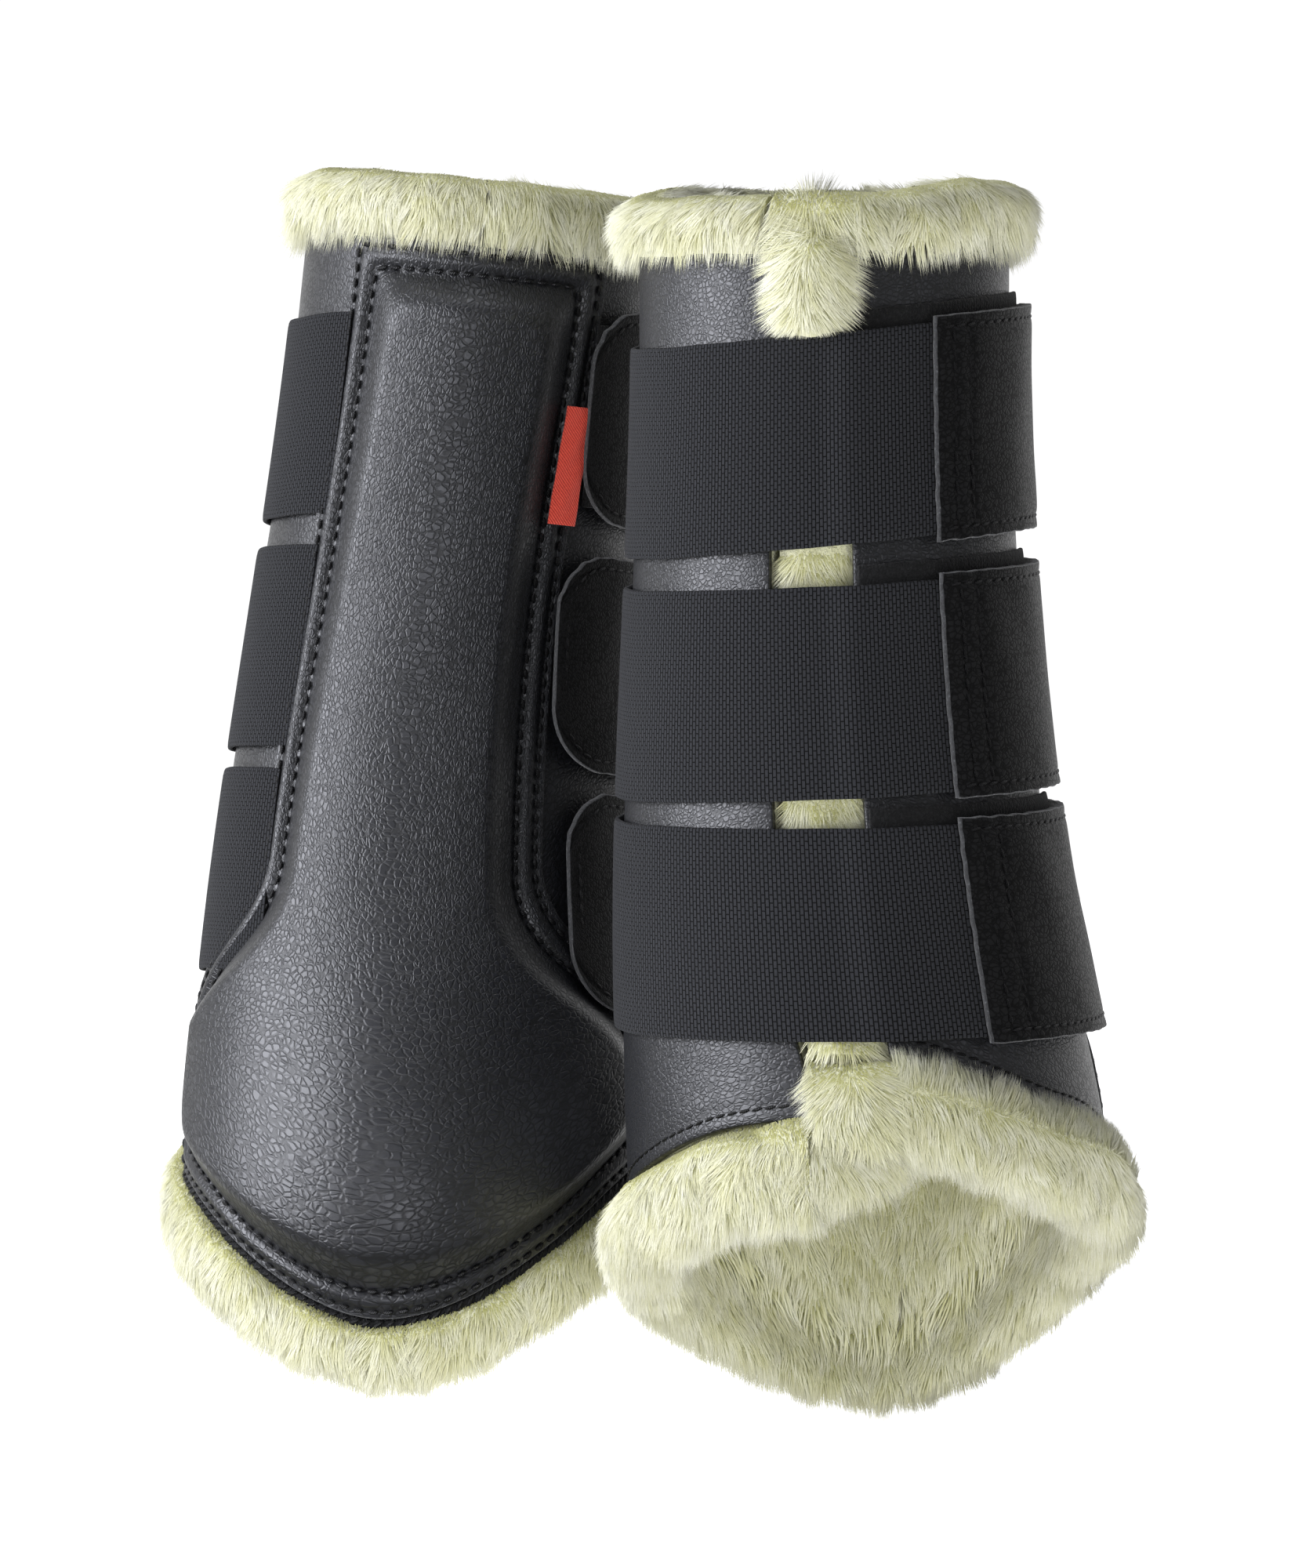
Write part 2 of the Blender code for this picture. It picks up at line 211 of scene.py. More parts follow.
def strap_low(name, angle):
    """Height of a strap's lower edge."""
    base, tilt = STRAPS[name]
    turn = np.radians(angle)
    return base + STRAP_LIFT * 0.5 * (1.0 + np.cos(turn)) - tilt * np.sin(turn)


def follow_edge(angle, z):
    """Shift an angle near the closure, where the near panel's corner runs further round low down."""
    corner = NEAR_CORNER * smooth((100.0 - z) / 30.0)
    near = corner * smooth((angle - 150.0) / (NEAR_EDGE - 150.0))
    far = corner * smooth((FAR_EDGE - angle) / (FAR_EDGE - FRONT_EDGE))
    return angle + np.where(angle > 0.0, near, far)


class Boot:
    """One boot of the pair: its name, mirror side and place."""

    def __init__(self, name):
        side, yaw, lean, offset = PLACING[name]
        self.name = name
        self.side = side
        turn = Matrix.Rotation(math.radians(yaw), 4, "Z") @ Matrix.Rotation(math.radians(lean), 4, "Y")
        self.turn = np.array(turn.to_3x3())
        self.offset = np.array(offset)

    def point(self, angle, z, offset):
        """Points in metres for angles, heights and offsets."""
        angle, z, offset = np.broadcast_arrays(angle, z, offset)
        share = flare(z)
        curl = np.maximum((CURL_START - z) / CURL_START, 0.0) ** 2
        across = HALF_ACROSS + FLARE_ACROSS * share - CURL_ACROSS * curl + offset
        along = HALF_ALONG + FLARE_ALONG * share ** 2 - CURL_ALONG * curl + offset
        turn = np.radians(angle)
        near = across * np.sin(turn) - SHIFT_TO_FAR * share ** 2
        pad = along * np.cos(turn) + SHIFT_TO_PAD * share ** 2
        local = np.stack([-near, pad * self.side, z], axis=-1)
        return (local @ self.turn.T + self.offset) * MM

    def body(self, name):
        """Name of one of the boot's bodies."""
        return self.name + "_" + name

    def across(self, hinge, turn, before, after):
        """Two points across a hinge line, square to it, from before to after in millimetres."""
        low, high = hinge
        axis = (high - low) / np.linalg.norm(high - low)
        angle, z, offset = turn
        way = self.point(angle[1], z, offset) - self.point(angle[0], z, offset)
        way = way - axis * (way @ axis)
        way = way / np.linalg.norm(way) * MM
        middle = 0.5 * (low + high)
        return middle + way * before, middle + way * after

    def flap(self, side):
        """Names of the two bodies joined at a flap's hinge, on the near (+1) or far (-1) side."""
        return self.body("core"), self.body("near_flap" if side > 0.0 else "far_flap")

    def flap_bend(self, side):
        """Two points across a flap's hinge line, on the near (+1) or far (-1) side."""
        angle = side * HINGE_ANGLE
        hinge = self.point(angle, 60.0, 8.0), self.point(angle, 275.0, 8.0)
        return self.across(hinge, ((angle - side * 8.0, angle + side * 8.0), 170.0, 8.0), -2.0, 14.0)

    def fold_bend(self, strap):
        """Two points across the fold of an elastic."""
        low = strap_low(strap, FOLD_ANGLE)
        hinge = self.point(FOLD_ANGLE, low, 2.6), self.point(FOLD_ANGLE, low + STRAP_WIDTH, 2.6)
        return self.across(hinge, ((FOLD_ANGLE - 8.0, FOLD_ANGLE + 8.0), low + 25.0, 2.6), -9.0, 9.0)

    def peel_bend(self, strap):
        """Two points across the seam between an elastic and its tab."""
        way = self.point(SEAM_ANGLE, 250.0, 0.0) - self.point(SEAM_ANGLE, 85.0, 0.0)
        way = way / np.linalg.norm(way) * 0.5 * STRAP_WIDTH * MM
        middle = self.point(SEAM_ANGLE, strap_low(strap, SEAM_ANGLE) + 0.5 * STRAP_WIDTH, 6.0)
        turn = (SEAM_ANGLE - 8.0, SEAM_ANGLE + 8.0), strap_low(strap, SEAM_ANGLE) + 25.0, 6.0
        return self.across((middle - way, middle + way), turn, -4.0, 9.0)


# ---------------------------------------------------------------- materials


def linear(code):
    """Linear colour of an sRGB hex code."""
    parts = [int(code[i:i + 2], 16) / 255.0 for i in (1, 3, 5)]
    return tuple(((c + 0.055) / 1.055) ** 2.4 if c > 0.04045 else c / 12.92 for c in parts) + (1.0,)


def add(tree, kind, inputs=None, stops=(), **settings):
    """Add a node. Its inputs are values or outputs of other nodes, and stops are a colour ramp's hex colours."""
    node = tree.nodes.new(kind)
    for key, value in settings.items():
        setattr(node, key, value)
    for key, value in (inputs or {}).items():
        if isinstance(value, bpy.types.NodeSocket):
            tree.links.new(value, node.inputs[key])
        else:
            node.inputs[key].default_value = value
    if stops:
        band = node.color_ramp.elements
        while len(band) < len(stops):
            band.new(0.5)
        for element, (position, code) in zip(band, stops):
            element.position = position
            element.color = linear(code)
    return node


def surface(name, roughness, **values):
    """New material: its tree and its Principled shader."""
    made = bpy.data.materials.new(name)
    made.use_nodes = True
    shader = made.node_tree.nodes["Principled BSDF"]
    shader.inputs["Roughness"].default_value = roughness
    for key, value in values.items():
        shader.inputs[key.replace("_", " ")].default_value = value
    return made, made.node_tree, shader


def flat_place(tree, turn=0.0):
    """Coordinates of the flat cut in millimetres, turned in radians."""
    source = add(tree, "ShaderNodeUVMap", uv_map=CUT).outputs["UV"]
    return add(tree, "ShaderNodeMapping", {"Vector": source, "Rotation": (0.0, 0.0, turn)}).outputs["Vector"]


def solid_place(tree):
    """Coordinates in the piece's own space, in metres."""
    return add(tree, "ShaderNodeTexCoord").outputs["Object"]


def colour_and_relief(tree, shader, height, stops, depth):
    """Colour a surface by the height of its relief, from 0 to 1, whose depth is in millimetres."""
    colour = add(tree, "ShaderNodeValToRGB", {"Fac": height}, stops).outputs["Color"]
    tree.links.new(colour, shader.inputs["Base Color"])
    relief = add(tree, "ShaderNodeBump", {"Strength": 1.0, "Distance": depth * MM, "Height": height})
    tree.links.new(relief.outputs["Normal"], shader.inputs["Normal"])


def grained_leather(name, pebble, depth, tones, roughness, gloss):
    """Embossed synthetic leather: irregular pebbles with fine creases between them, darkened with painted shade,
    softly glossy tops.

    Real pebbles are about 1 mm across. They are drawn a little coarser, so that they show.
    """
    made, tree, shader = surface(name, roughness, Specular_IOR_Level=gloss)
    place = flat_place(tree)
    wander = add(tree, "ShaderNodeTexNoise", {"Vector": place, "Scale": 0.5 / pebble, "Detail": 2.0})
    shift = add(tree, "ShaderNodeVectorMath", {0: wander.outputs["Color"], 1: (0.5, 0.5, 0.5)},
                operation="SUBTRACT")
    moved = add(tree, "ShaderNodeVectorMath", {0: shift.outputs[0], 1: (0.9 * pebble,) * 3, 2: place},
                operation="MULTIPLY_ADD").outputs[0]
    creases = []
    for size, width in ((1.0, 0.2), (4.5, 0.035)):
        cell = add(tree, "ShaderNodeTexVoronoi", {"Vector": moved, "Scale": 1.0 / (size * pebble)},
                   feature="DISTANCE_TO_EDGE")
        line = add(tree, "ShaderNodeMapRange", {"Value": cell.outputs["Distance"], "From Max": width},
                   interpolation_type="SMOOTHSTEP")
        creases.append(line.outputs["Result"])
    fine = add(tree, "ShaderNodeTexNoise", {"Vector": place, "Scale": 2.2 / pebble, "Detail": 3.0}).outputs["Fac"]
    wide = add(tree, "ShaderNodeMath", {0: creases[1], 1: 0.6, 2: 0.4}, operation="MULTIPLY_ADD").outputs[0]
    line = add(tree, "ShaderNodeMath", {0: creases[0], 1: wide}, operation="MULTIPLY").outputs[0]
    height = add(tree, "ShaderNodeMath", {0: fine, 1: 0.3, 2: line}, operation="MULTIPLY_ADD").outputs[0]
    # painted shade: the lower the relief, the darker the colour, so the creases read as shaded
    stops = (0.15, tones[0]), (0.8, tones[1]), (1.2 / 1.3, tones[2])
    colour_and_relief(tree, shader, height, stops, depth)
    limits = {"Value": height, "From Max": 1.2, "To Min": roughness + 0.14, "To Max": roughness - 0.03}
    rough = add(tree, "ShaderNodeMapRange", limits).outputs["Result"]
    tree.links.new(rough, shader.inputs["Roughness"])
    return made


def woven_elastic():
    """Woven elastic webbing: columns of short stitches, matt, with a slight sheen, and painted shade in the gaps
    between them.

    Real stitches are about 0.6 mm apart. They are drawn 0.95 mm apart, so that they show.
    """
    made, tree, shader = surface("woven_elastic", 0.9, Specular_IOR_Level=0.2, Sheen_Weight=0.05)
    place = flat_place(tree, math.pi / 2.0)
    brick = add(tree, "ShaderNodeTexBrick", {
        "Vector": place, "Scale": 1.0, "Mortar Size": 0.2, "Mortar Smooth": 0.6, "Brick Width": 1.9,
        "Row Height": 0.95, "Color1": (1.0, 1.0, 1.0, 1.0), "Color2": (0.82, 0.82, 0.82, 1.0),
        "Mortar": (0.0, 0.0, 0.0, 1.0)})
    fuzz = add(tree, "ShaderNodeTexNoise", {"Vector": place, "Scale": 3.0, "Detail": 3.0}).outputs["Fac"]
    grey = add(tree, "ShaderNodeRGBToBW", {"Color": brick.outputs["Color"]}).outputs["Val"]
    height = add(tree, "ShaderNodeMath", {0: fuzz, 1: 0.4, 2: grey}, operation="MULTIPLY_ADD").outputs[0]
    # painted shade: the gaps between stitches, lowest in the relief, are darkest
    colour_and_relief(tree, shader, height, ((0.15, "#010102"), (0.9, "#1b1c1e"), (1.15 / 1.2, "#2a2b2e")), 0.3)
    return made


def brushed_tape(name, tones, pitch, depth):
    """Brushed or hooked tape: close rows of short loops, matt."""
    made, tree, shader = surface(name, 0.95, Sheen_Weight=0.1)
    place = flat_place(tree)
    rows = add(tree, "ShaderNodeTexVoronoi", {"Vector": place, "Scale": 1.0 / pitch, "Randomness": 0.6})
    fuzz = add(tree, "ShaderNodeTexNoise", {"Vector": place, "Scale": 2.2, "Detail": 4.0}).outputs["Fac"]
    height = add(tree, "ShaderNodeMath", {0: rows.outputs["Distance"], 1: -0.8, 2: fuzz},
                 operation="MULTIPLY_ADD").outputs[0]
    colour_and_relief(tree, shader, height, ((0.0, tones[0]), (0.8, tones[1])), depth)
    return made


def raw_edge(name, tones):
    """Cut edge of the leather: its pale fibrous backing shows as a soft grey line."""
    made, tree, shader = surface(name, 0.92, Sheen_Weight=0.3, Sheen_Roughness=0.6)
    fuzz = add(tree, "ShaderNodeTexNoise", {"Vector": solid_place(tree), "Scale": 1400.0, "Detail": 4.0})
    stops = (0.3, tones[0]), (0.6, tones[1]), (0.75, tones[2])
    colour_and_relief(tree, shader, fuzz.outputs["Fac"], stops, 0.3)
    return made


def waxed_thread(name, tones):
    """Bonded sewing thread: tight twist, a thin waxy shine."""
    made, tree, shader = surface(name, 0.42)
    place = flat_place(tree, 0.7)
    twist = add(tree, "ShaderNodeTexWave", {"Vector": place, "Scale": 0.8, "Distortion": 0.6})
    colour_and_relief(tree, shader, twist.outputs["Fac"], ((0.2, tones[0]), (0.8, tones[1])), 0.12)
    return made


def woven_label():
    """Satin-woven tape: warm red with a fine diagonal weave."""
    made, tree, shader = surface("woven_tape", 0.75, Sheen_Weight=0.2)
    place = flat_place(tree, 0.78)
    wave = add(tree, "ShaderNodeTexWave", {"Vector": place, "Scale": 0.55, "Distortion": 0.8}).outputs["Fac"]
    fuzz = add(tree, "ShaderNodeTexNoise", {"Vector": place, "Scale": 1.6, "Detail": 3.0}).outputs["Fac"]
    both = add(tree, "ShaderNodeMath", {0: wave, 1: fuzz}, operation="ADD").outputs[0]
    height = add(tree, "ShaderNodeMath", {0: both, 1: 0.6}, operation="MULTIPLY").outputs[0]
    colour_and_relief(tree, shader, height, ((0.15, "#b92a1c"), (0.6, "#e8432f"), (1.0, "#f86a52")), 0.12)
    return made


def fleece_fibre(name, stops, tints):
    """Acrylic pile: fine soft fibres, darkened towards the root with painted shade deep in the pile, pale and dry
    at the tip.
    """
    made, tree, shader = surface(name, 0.85, Sheen_Weight=0.25, Sheen_Roughness=0.5)
    along = add(tree, "ShaderNodeAttribute", attribute_name="along").outputs["Fac"]
    tint = add(tree, "ShaderNodeAttribute", attribute_name="tint").outputs["Fac"]
    # colour along a tuft: painted shade at the root, lightening to the tip
    colour = add(tree, "ShaderNodeValToRGB", {"Fac": along}, stops).outputs["Color"]
    shade = add(tree, "ShaderNodeValToRGB", {"Fac": tint}, ((0.0, tints[0]), (1.0, tints[1]))).outputs["Color"]
    mixed = add(tree, "ShaderNodeMixRGB", {"Fac": 1.0, "Color1": colour, "Color2": shade}, blend_type="MULTIPLY")
    tree.links.new(mixed.outputs["Color"], shader.inputs["Base Color"])
    return made


def fleece_base():
    """Ground of the fleece under its pile: fibrous, with painted shade that darkens it to a deeper yellow green in
    the hollows of its relief.
    """
    made, tree, shader = surface("fleece_ground", 0.95, Sheen_Weight=0.4)
    place = solid_place(tree)
    hair = add(tree, "ShaderNodeTexNoise", {"Vector": place, "Scale": 900.0, "Detail": 5.0, "Distortion": 1.5})
    clump = add(tree, "ShaderNodeTexNoise", {"Vector": place, "Scale": 90.0, "Detail": 3.0})
    shares = {0: hair.outputs["Fac"], 1: clump.outputs["Fac"]}
    both = add(tree, "ShaderNodeMath", shares, operation="ADD").outputs[0]
    height = add(tree, "ShaderNodeMath", {0: both, 1: 0.5}, operation="MULTIPLY").outputs[0]
    # painted shade: the lower the relief, the darker the ground
    colour_and_relief(tree, shader, height, ((0.3, "#b4b37f"), (0.5, "#d3d2a8"), (0.7, "#e6e5c6")), 1.6)
    return made


def hidden_filling(name, pitch, roughness, tones):
    """Filling sealed inside the pad: moulded plate or open-cell foam, with cells of a pitch in millimetres."""
    made, tree, shader = surface(name, roughness)
    cells = add(tree, "ShaderNodeTexVoronoi", {"Vector": solid_place(tree), "Scale": 1000.0 / pitch})
    colour_and_relief(tree, shader, cells.outputs["Distance"], ((0.1, tones[0]), (0.7, tones[1])), 0.2)
    return made


# leathers: pebble and relief in millimetres, tones of creases (darkened with painted shade) and tops, roughness,
# gloss
SHELL = grained_leather("grained_synthetic_leather", 1.35, 0.07, ("#08090a", "#141519", "#191a1e"), 0.38, 0.92)
PAD_LEATHER = grained_leather("coarse_grained_synthetic_leather", 1.55, 0.08, ("#090a0b", "#16171b", "#1c1d21"),
                              0.37, 0.95)
TAB_LEATHER = grained_leather("fine_grained_synthetic_leather", 1.2, 0.07, ("#030303", "#0b0b0c", "#121213"),
                              0.46, 0.28)
EDGE = raw_edge("cut_leather_edge", ("#151516", "#2c2d2f", "#5a5c5f"))
THREAD = waxed_thread("bonded_black_thread", ("#040405", "#121213"))

# webbing and tapes: tones of gaps and tops, pitch and relief in millimetres
ELASTIC = woven_elastic()
LOOP = brushed_tape("brushed_loop_tape", ("#060606", "#1d1d1e"), 0.9, 0.35)
HOOK = brushed_tape("moulded_hook_tape", ("#050505", "#141415"), 1.1, 0.4)
BINDING = brushed_tape("brushed_binding", ("#070707", "#262628"), 1.3, 0.5)
LABEL = woven_label()

# pile: colours from root to tip, with painted shade at the root, and the darkest and lightest tint of a tuft
BINDING_PILE = fleece_fibre("binding_pile", ((0.0, "#060607"), (0.6, "#232428"), (1.0, "#54565a")),
                            ("#b9b9b9", "#ffffff"))
PILE = fleece_fibre("acrylic_pile", ((0.0, "#b0af70"), (0.45, "#e8e7cb"), (0.8, "#f2f1de"), (1.0, "#f9f8ee")),
                    ("#e2e1bf", "#ffffff"))
GROUND = fleece_base()

PLATE = hidden_filling("moulded_plastic_plate", 6.0, 0.45, ("#29292c", "#303033"))
FOAM = hidden_filling("open_cell_foam", 0.8, 0.95, ("#1f1f21", "#4a4a4d"))


# ---------------------------------------------------------------- flat pieces


def read_points(mesh):
    """Vertex places as an array."""
    flat = np.empty(len(mesh.vertices) * 3, np.float32)
    mesh.vertices.foreach_get("co", flat)
    return flat.reshape(-1, 3).astype(float)


def write_points(mesh, points):
    """Put vertex places back."""
    mesh.vertices.foreach_set("co", np.asarray(points, np.float32).ravel())
    mesh.update()


def write_cut(mesh, points):
    """Store where each corner lay on the flat piece, in millimetres."""
    while mesh.uv_layers:
        mesh.uv_layers.remove(mesh.uv_layers[0])
    layer = mesh.uv_layers.new(name=CUT)
    index = np.empty(len(mesh.loops), np.int32)
    mesh.loops.foreach_get("vertex_index", index)
    layer.data.foreach_set("uv", np.asarray(points[index, :2], np.float32).ravel())


def apply_modifier(piece, kind, **settings):
    """Add a modifier with its settings and apply it."""
    modifier = piece.modifiers.new(kind, kind)
    for key, value in settings.items():
        setattr(modifier, key, value)
    bpy.ops.object.modifier_apply(modifier=modifier.name)


def mark_rim(mesh, size, ends):
    """Bevel weight on the long upper and lower edges of a flat slab, and on its ends if they are free."""
    points = read_points(mesh)
    pairs = np.empty(len(mesh.edges) * 2, np.int32)
    mesh.edges.foreach_get("vertices", pairs)
    a, b = points[pairs.reshape(-1, 2)].transpose(1, 0, 2)
    same = np.abs(a - b) < 1e-4
    at_side = (np.abs(a[:, 1]) < 1e-4) | (np.abs(a[:, 1] - size[1]) < 1e-4)
    at_end = (np.abs(a[:, 0]) < 1e-4) | (np.abs(a[:, 0] - size[0]) < 1e-4)
    rim = same[:, 2] & ((same[:, 1] & at_side) | (ends & same[:, 0] & at_end))
    weight = mesh.attributes.new("bevel_weight_edge", "FLOAT", "EDGE")
    weight.data.foreach_set("value", rim.astype(np.float32))


def flat_piece(name, size, counts, thickness, rim=0.35, ends=True):
    """Flat piece in millimetres from (0, 0) to its size, thickened upwards, with its rim rounded."""
    bpy.ops.object.select_all(action="DESELECT")
    bpy.ops.mesh.primitive_grid_add(x_subdivisions=counts[0], y_subdivisions=counts[1], size=1.0)
    piece = bpy.context.object
    piece.name = name
    piece.data.name = name
    points = read_points(piece.data)
    points[:, 0] = (points[:, 0] + 0.5) * size[0]
    points[:, 1] = (points[:, 1] + 0.5) * size[1]
    write_points(piece.data, points)
    apply_modifier(piece, "SOLIDIFY", thickness=thickness, offset=1.0)
    if rim:
        mark_rim(piece.data, size, ends)
        apply_modifier(piece, "BEVEL", width=rim, segments=2, limit_method="WEIGHT")
    return piece


def lay_round(piece, boot, lay):
    """Lay a flat piece round the leg: lay(x, y, h) gives angle, height and offset."""
    mesh = piece.data
    flat = read_points(mesh)
    write_cut(mesh, flat)
    write_points(mesh, boot.point(*lay(flat[:, 0], flat[:, 1], flat[:, 2])))
    if boot.side < 0.0:
        mesh.flip_normals()
    mesh.update()
    bpy.ops.object.select_all(action="DESELECT")
    piece.select_set(True)
    bpy.context.view_layer.objects.active = piece
    bpy.ops.object.shade_smooth_by_angle(angle=math.radians(50.0))
    return flat


def ball(segments, rings):
    """Points and faces of a ball. Its faces are put in one order, because the primitive's order varies."""
    bpy.ops.object.select_all(action="DESELECT")
    bpy.ops.mesh.primitive_uv_sphere_add(segments=segments, ring_count=rings, radius=1.0)
    form = bpy.context.object
    points = read_points(form.data)
    faces = []
    for face in form.data.polygons:
        corners = tuple(face.vertices)
        first = corners.index(min(corners))
        faces.append(corners[first:] + corners[:first])
    bpy.data.objects.remove(form, do_unlink=True)
    return points, sorted(faces)


def new_piece(name, mesh):
    """Object of a mesh, in the scene."""
    piece = bpy.data.objects.new(name, mesh)
    bpy.context.scene.collection.objects.link(piece)
    return piece


def dress(piece, slot, *finishes):
    """Give a piece its materials. The slot that they stand for is not used."""
    piece.data.materials.clear()
    for finish in finishes:
        piece.data.materials.append(finish)
    return piece


def edge_finish(piece, flat, thickness):
    """Second material on the rim of a flat piece."""
    mesh = piece.data
    for face in mesh.polygons:
        heights = [flat[i, 2] for i in face.vertices]
        if max(heights) - min(heights) > 0.05 * thickness:
            face.material_index = 1


# ---------------------------------------------------------------- sewing


def stitch_shape():
    """One stitch along X, a bead with pointed ends, modelled once."""
    points, faces = ball(6, 5)
    return np.stack([points[:, 2], points[:, 0], points[:, 1]], axis=1), faces


STITCH_POINTS, STITCH_FACES = stitch_shape()


def spaced(path, pitch):
    """Points at an even pitch in metres along a dense path, with their directions."""
    steps = np.linalg.norm(np.diff(path, axis=0), axis=1)
    run = np.concatenate([[0.0], np.cumsum(steps)])
    count = max(int(run[-1] / pitch), 1)
    at = (np.arange(count) + 0.5) * run[-1] / count
    place = np.stack([np.interp(at, run, path[:, i]) for i in range(3)], axis=1)
    ahead = np.stack([np.interp(at + pitch * 0.3, run, path[:, i]) for i in range(3)], axis=1)
    back = np.stack([np.interp(at - pitch * 0.3, run, path[:, i]) for i in range(3)], axis=1)
    way = ahead - back
    return place, way / np.linalg.norm(way, axis=1, keepdims=True), at / run[-1]


def sew(name, boot, rows, size, pitch=3.4, lift=0.1, slant=0.12):
    """Rows of stitches as one mesh. Each row is arrays of angle, height and offset."""
    points, faces, cuts = [], [], []
    for angle, z, offset in rows:
        path = boot.point(angle, z, offset + lift)
        raised = boot.point(angle, z, offset + lift + 1.0)
        place, way, share = spaced(path, pitch * MM)
        along = np.linspace(0.0, 1.0, len(path))
        out = np.stack([np.interp(share, along, (raised - path)[:, i]) for i in range(3)], axis=1)
        out = out / np.linalg.norm(out, axis=1, keepdims=True)
        side = np.cross(out, way)
        side = side / np.linalg.norm(side, axis=1, keepdims=True)
        way = way + side * slant
        for centre, x, y, n in zip(place, way, side, out):
            turned = STITCH_POINTS * np.array(size) * MM
            bead = centre + turned[:, :1] * x + turned[:, 1:2] * y + turned[:, 2:] * n
            base = sum(len(p) for p in points)
            points.append(bead)
            cuts.append(STITCH_POINTS * np.array(size))
            faces.extend(tuple(i + base for i in face) for face in STITCH_FACES)
    mesh = bpy.data.meshes.new(name)
    mesh.from_pydata(np.concatenate(points).tolist(), [], faces)
    write_cut(mesh, np.concatenate(cuts))
    mesh.polygons.foreach_set("use_smooth", np.ones(len(mesh.polygons), bool))
    mesh.update()
    return new_piece(name, mesh)


# ---------------------------------------------------------------- shell and pad


def build_shell(boot, side):
    """Leather panel of one half of the boot, from under the pad to the closure."""
    end = NEAR_EDGE if side > 0.0 else FAR_EDGE
    name = boot.name + ("_near_panel" if side > 0.0 else "_far_panel")
    length = math.radians(abs(end)) * ROUND
    flat_height = 250.0
    piece = flat_piece(name, (length, flat_height), (90, 108), SHELL_THICK, 0.5)

    def lay(x, y, h):
        along = x if side > 0.0 else length - x
        angle = side * np.degrees(along / ROUND)
        low = hem(angle)
        z = low + (SHELL_TOP - low) * y / flat_height
        groove = 0.35 * np.exp(-((z - low - HEM_ROW) / 0.9) ** 2) * smooth((np.abs(angle) - 80.0) / 8.0)
        hollow = 0.5 * ripple(angle, z, 3) * smooth((z - low) / 12.0) * smooth((SHELL_TOP - z) / 20.0)
        return follow_edge(angle, z), z, h - SHELL_THICK - (groove + 0.3 + 0.6 * hollow) * (h > 1.0)
    lay_round(piece, boot, lay)
    dress(piece, "leather", SHELL)
    nodes = ("shell_near",) if side > 0.0 else ("shell_far", "shell_back")
    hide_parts(*[boot.body(n) for n in nodes])
    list(boot.flap(side))
    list(boot.flap_bend(side))
    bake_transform(piece)

    stop = NEAR_EDGE - 1.5 if side > 0.0 else 160.0
    angle = side * np.linspace(HINGE_ANGLE + 2.0, stop, 200)
    z = hem(angle) + HEM_ROW
    seam = sew(name + "_hem_stitches", boot, [(follow_edge(angle, z), z, np.full(200, -0.45))], (1.35, 0.42, 0.34))
    dress(seam, "leather", THREAD)
    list(boot.flap(side))
    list(boot.flap_bend(side))
    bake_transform(seam)


def ripple(angle, z, seed, size=34.0):
    """Slow unevenness between -1 and 1 over a surface in angle and height."""
    random = np.random.default_rng(seed)
    total = 0.0
    for _ in range(5):
        way = random.uniform(0.0, 2.0 * math.pi)
        wave = size * random.uniform(0.6, 1.5)
        phase = random.uniform(0.0, 2.0 * math.pi)
        run = np.radians(angle) * ROUND * math.cos(way) + z * math.sin(way)
        total = total + np.sin(run * 2.0 * math.pi / wave + phase)
    return total / 5.0


def pad_row(depth):
    """Angles and heights of a line a depth inside the pad's edge, all the way round."""
    turn = np.linspace(-math.pi, math.pi, 1200)
    low, high = np.zeros_like(turn), np.ones_like(turn)
    for _ in range(26):
        reach = 0.5 * (low + high)
        angle, z = 6.0 + 130.0 * reach * np.cos(turn), 95.0 + 190.0 * reach * np.sin(turn)
        inside = (pad_depth(angle, z) > depth) & (z < PAD_TOP) & (z > hem(angle))
        low, high = np.where(inside, reach, low), np.where(inside, high, reach)
    return 6.0 + 130.0 * low * np.cos(turn), 95.0 + 190.0 * low * np.sin(turn)


def build_pad(boot):
    """Strike pad: leather over foam, two sewn rows round a raised field."""
    width, height = 130.0, 250.0
    piece = flat_piece(boot.name + "_strike_pad", (width, height), (124, 204), PAD_THICK, 0.3)

    def lay(x, y, h):
        u = 2.0 * x / width - 1.0
        u = np.sign(u) * np.abs(u) ** 0.8
        angle, z = pad_point(u, np.clip(y / height, 0.0, 1.0))
        depth = pad_depth(angle, z)
        groove = 0.55 * np.exp(-((depth - OUTER_ROW) / 0.85) ** 2)
        groove = groove + 0.9 * np.exp(-((depth - INNER_ROW) / 1.0) ** 2)
        pillow = 0.6 * np.exp(-((depth - 4.5) / 1.3) ** 2)
        hollow = 0.45 * ripple(angle, z, 11, 46.0) * smooth((depth - 10.0) / 14.0)
        relief = (pillow - groove + hollow) * (h > 0.6)
        return angle, z, pad_height(angle, z) - PAD_THICK + h + relief - 0.4
    flat = lay_round(piece, boot, lay)
    dress(piece, "pad_leather", PAD_LEATHER, EDGE)
    edge_finish(piece, flat, PAD_THICK)
    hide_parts(boot.body("pad_cover"))
    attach(piece, boot.body("core"))

    rows = []
    for depth, sink in ((OUTER_ROW, 0.45), (INNER_ROW, 0.7)):
        angle, z = pad_row(depth)
        rows.append((angle, z, pad_height(angle, z) - sink))
    seam = sew(boot.name + "_pad_stitches", boot, rows, (1.3, 0.62, 0.5), 3.7)
    dress(seam, "pad_leather", THREAD)
    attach(seam, boot.body("core"))


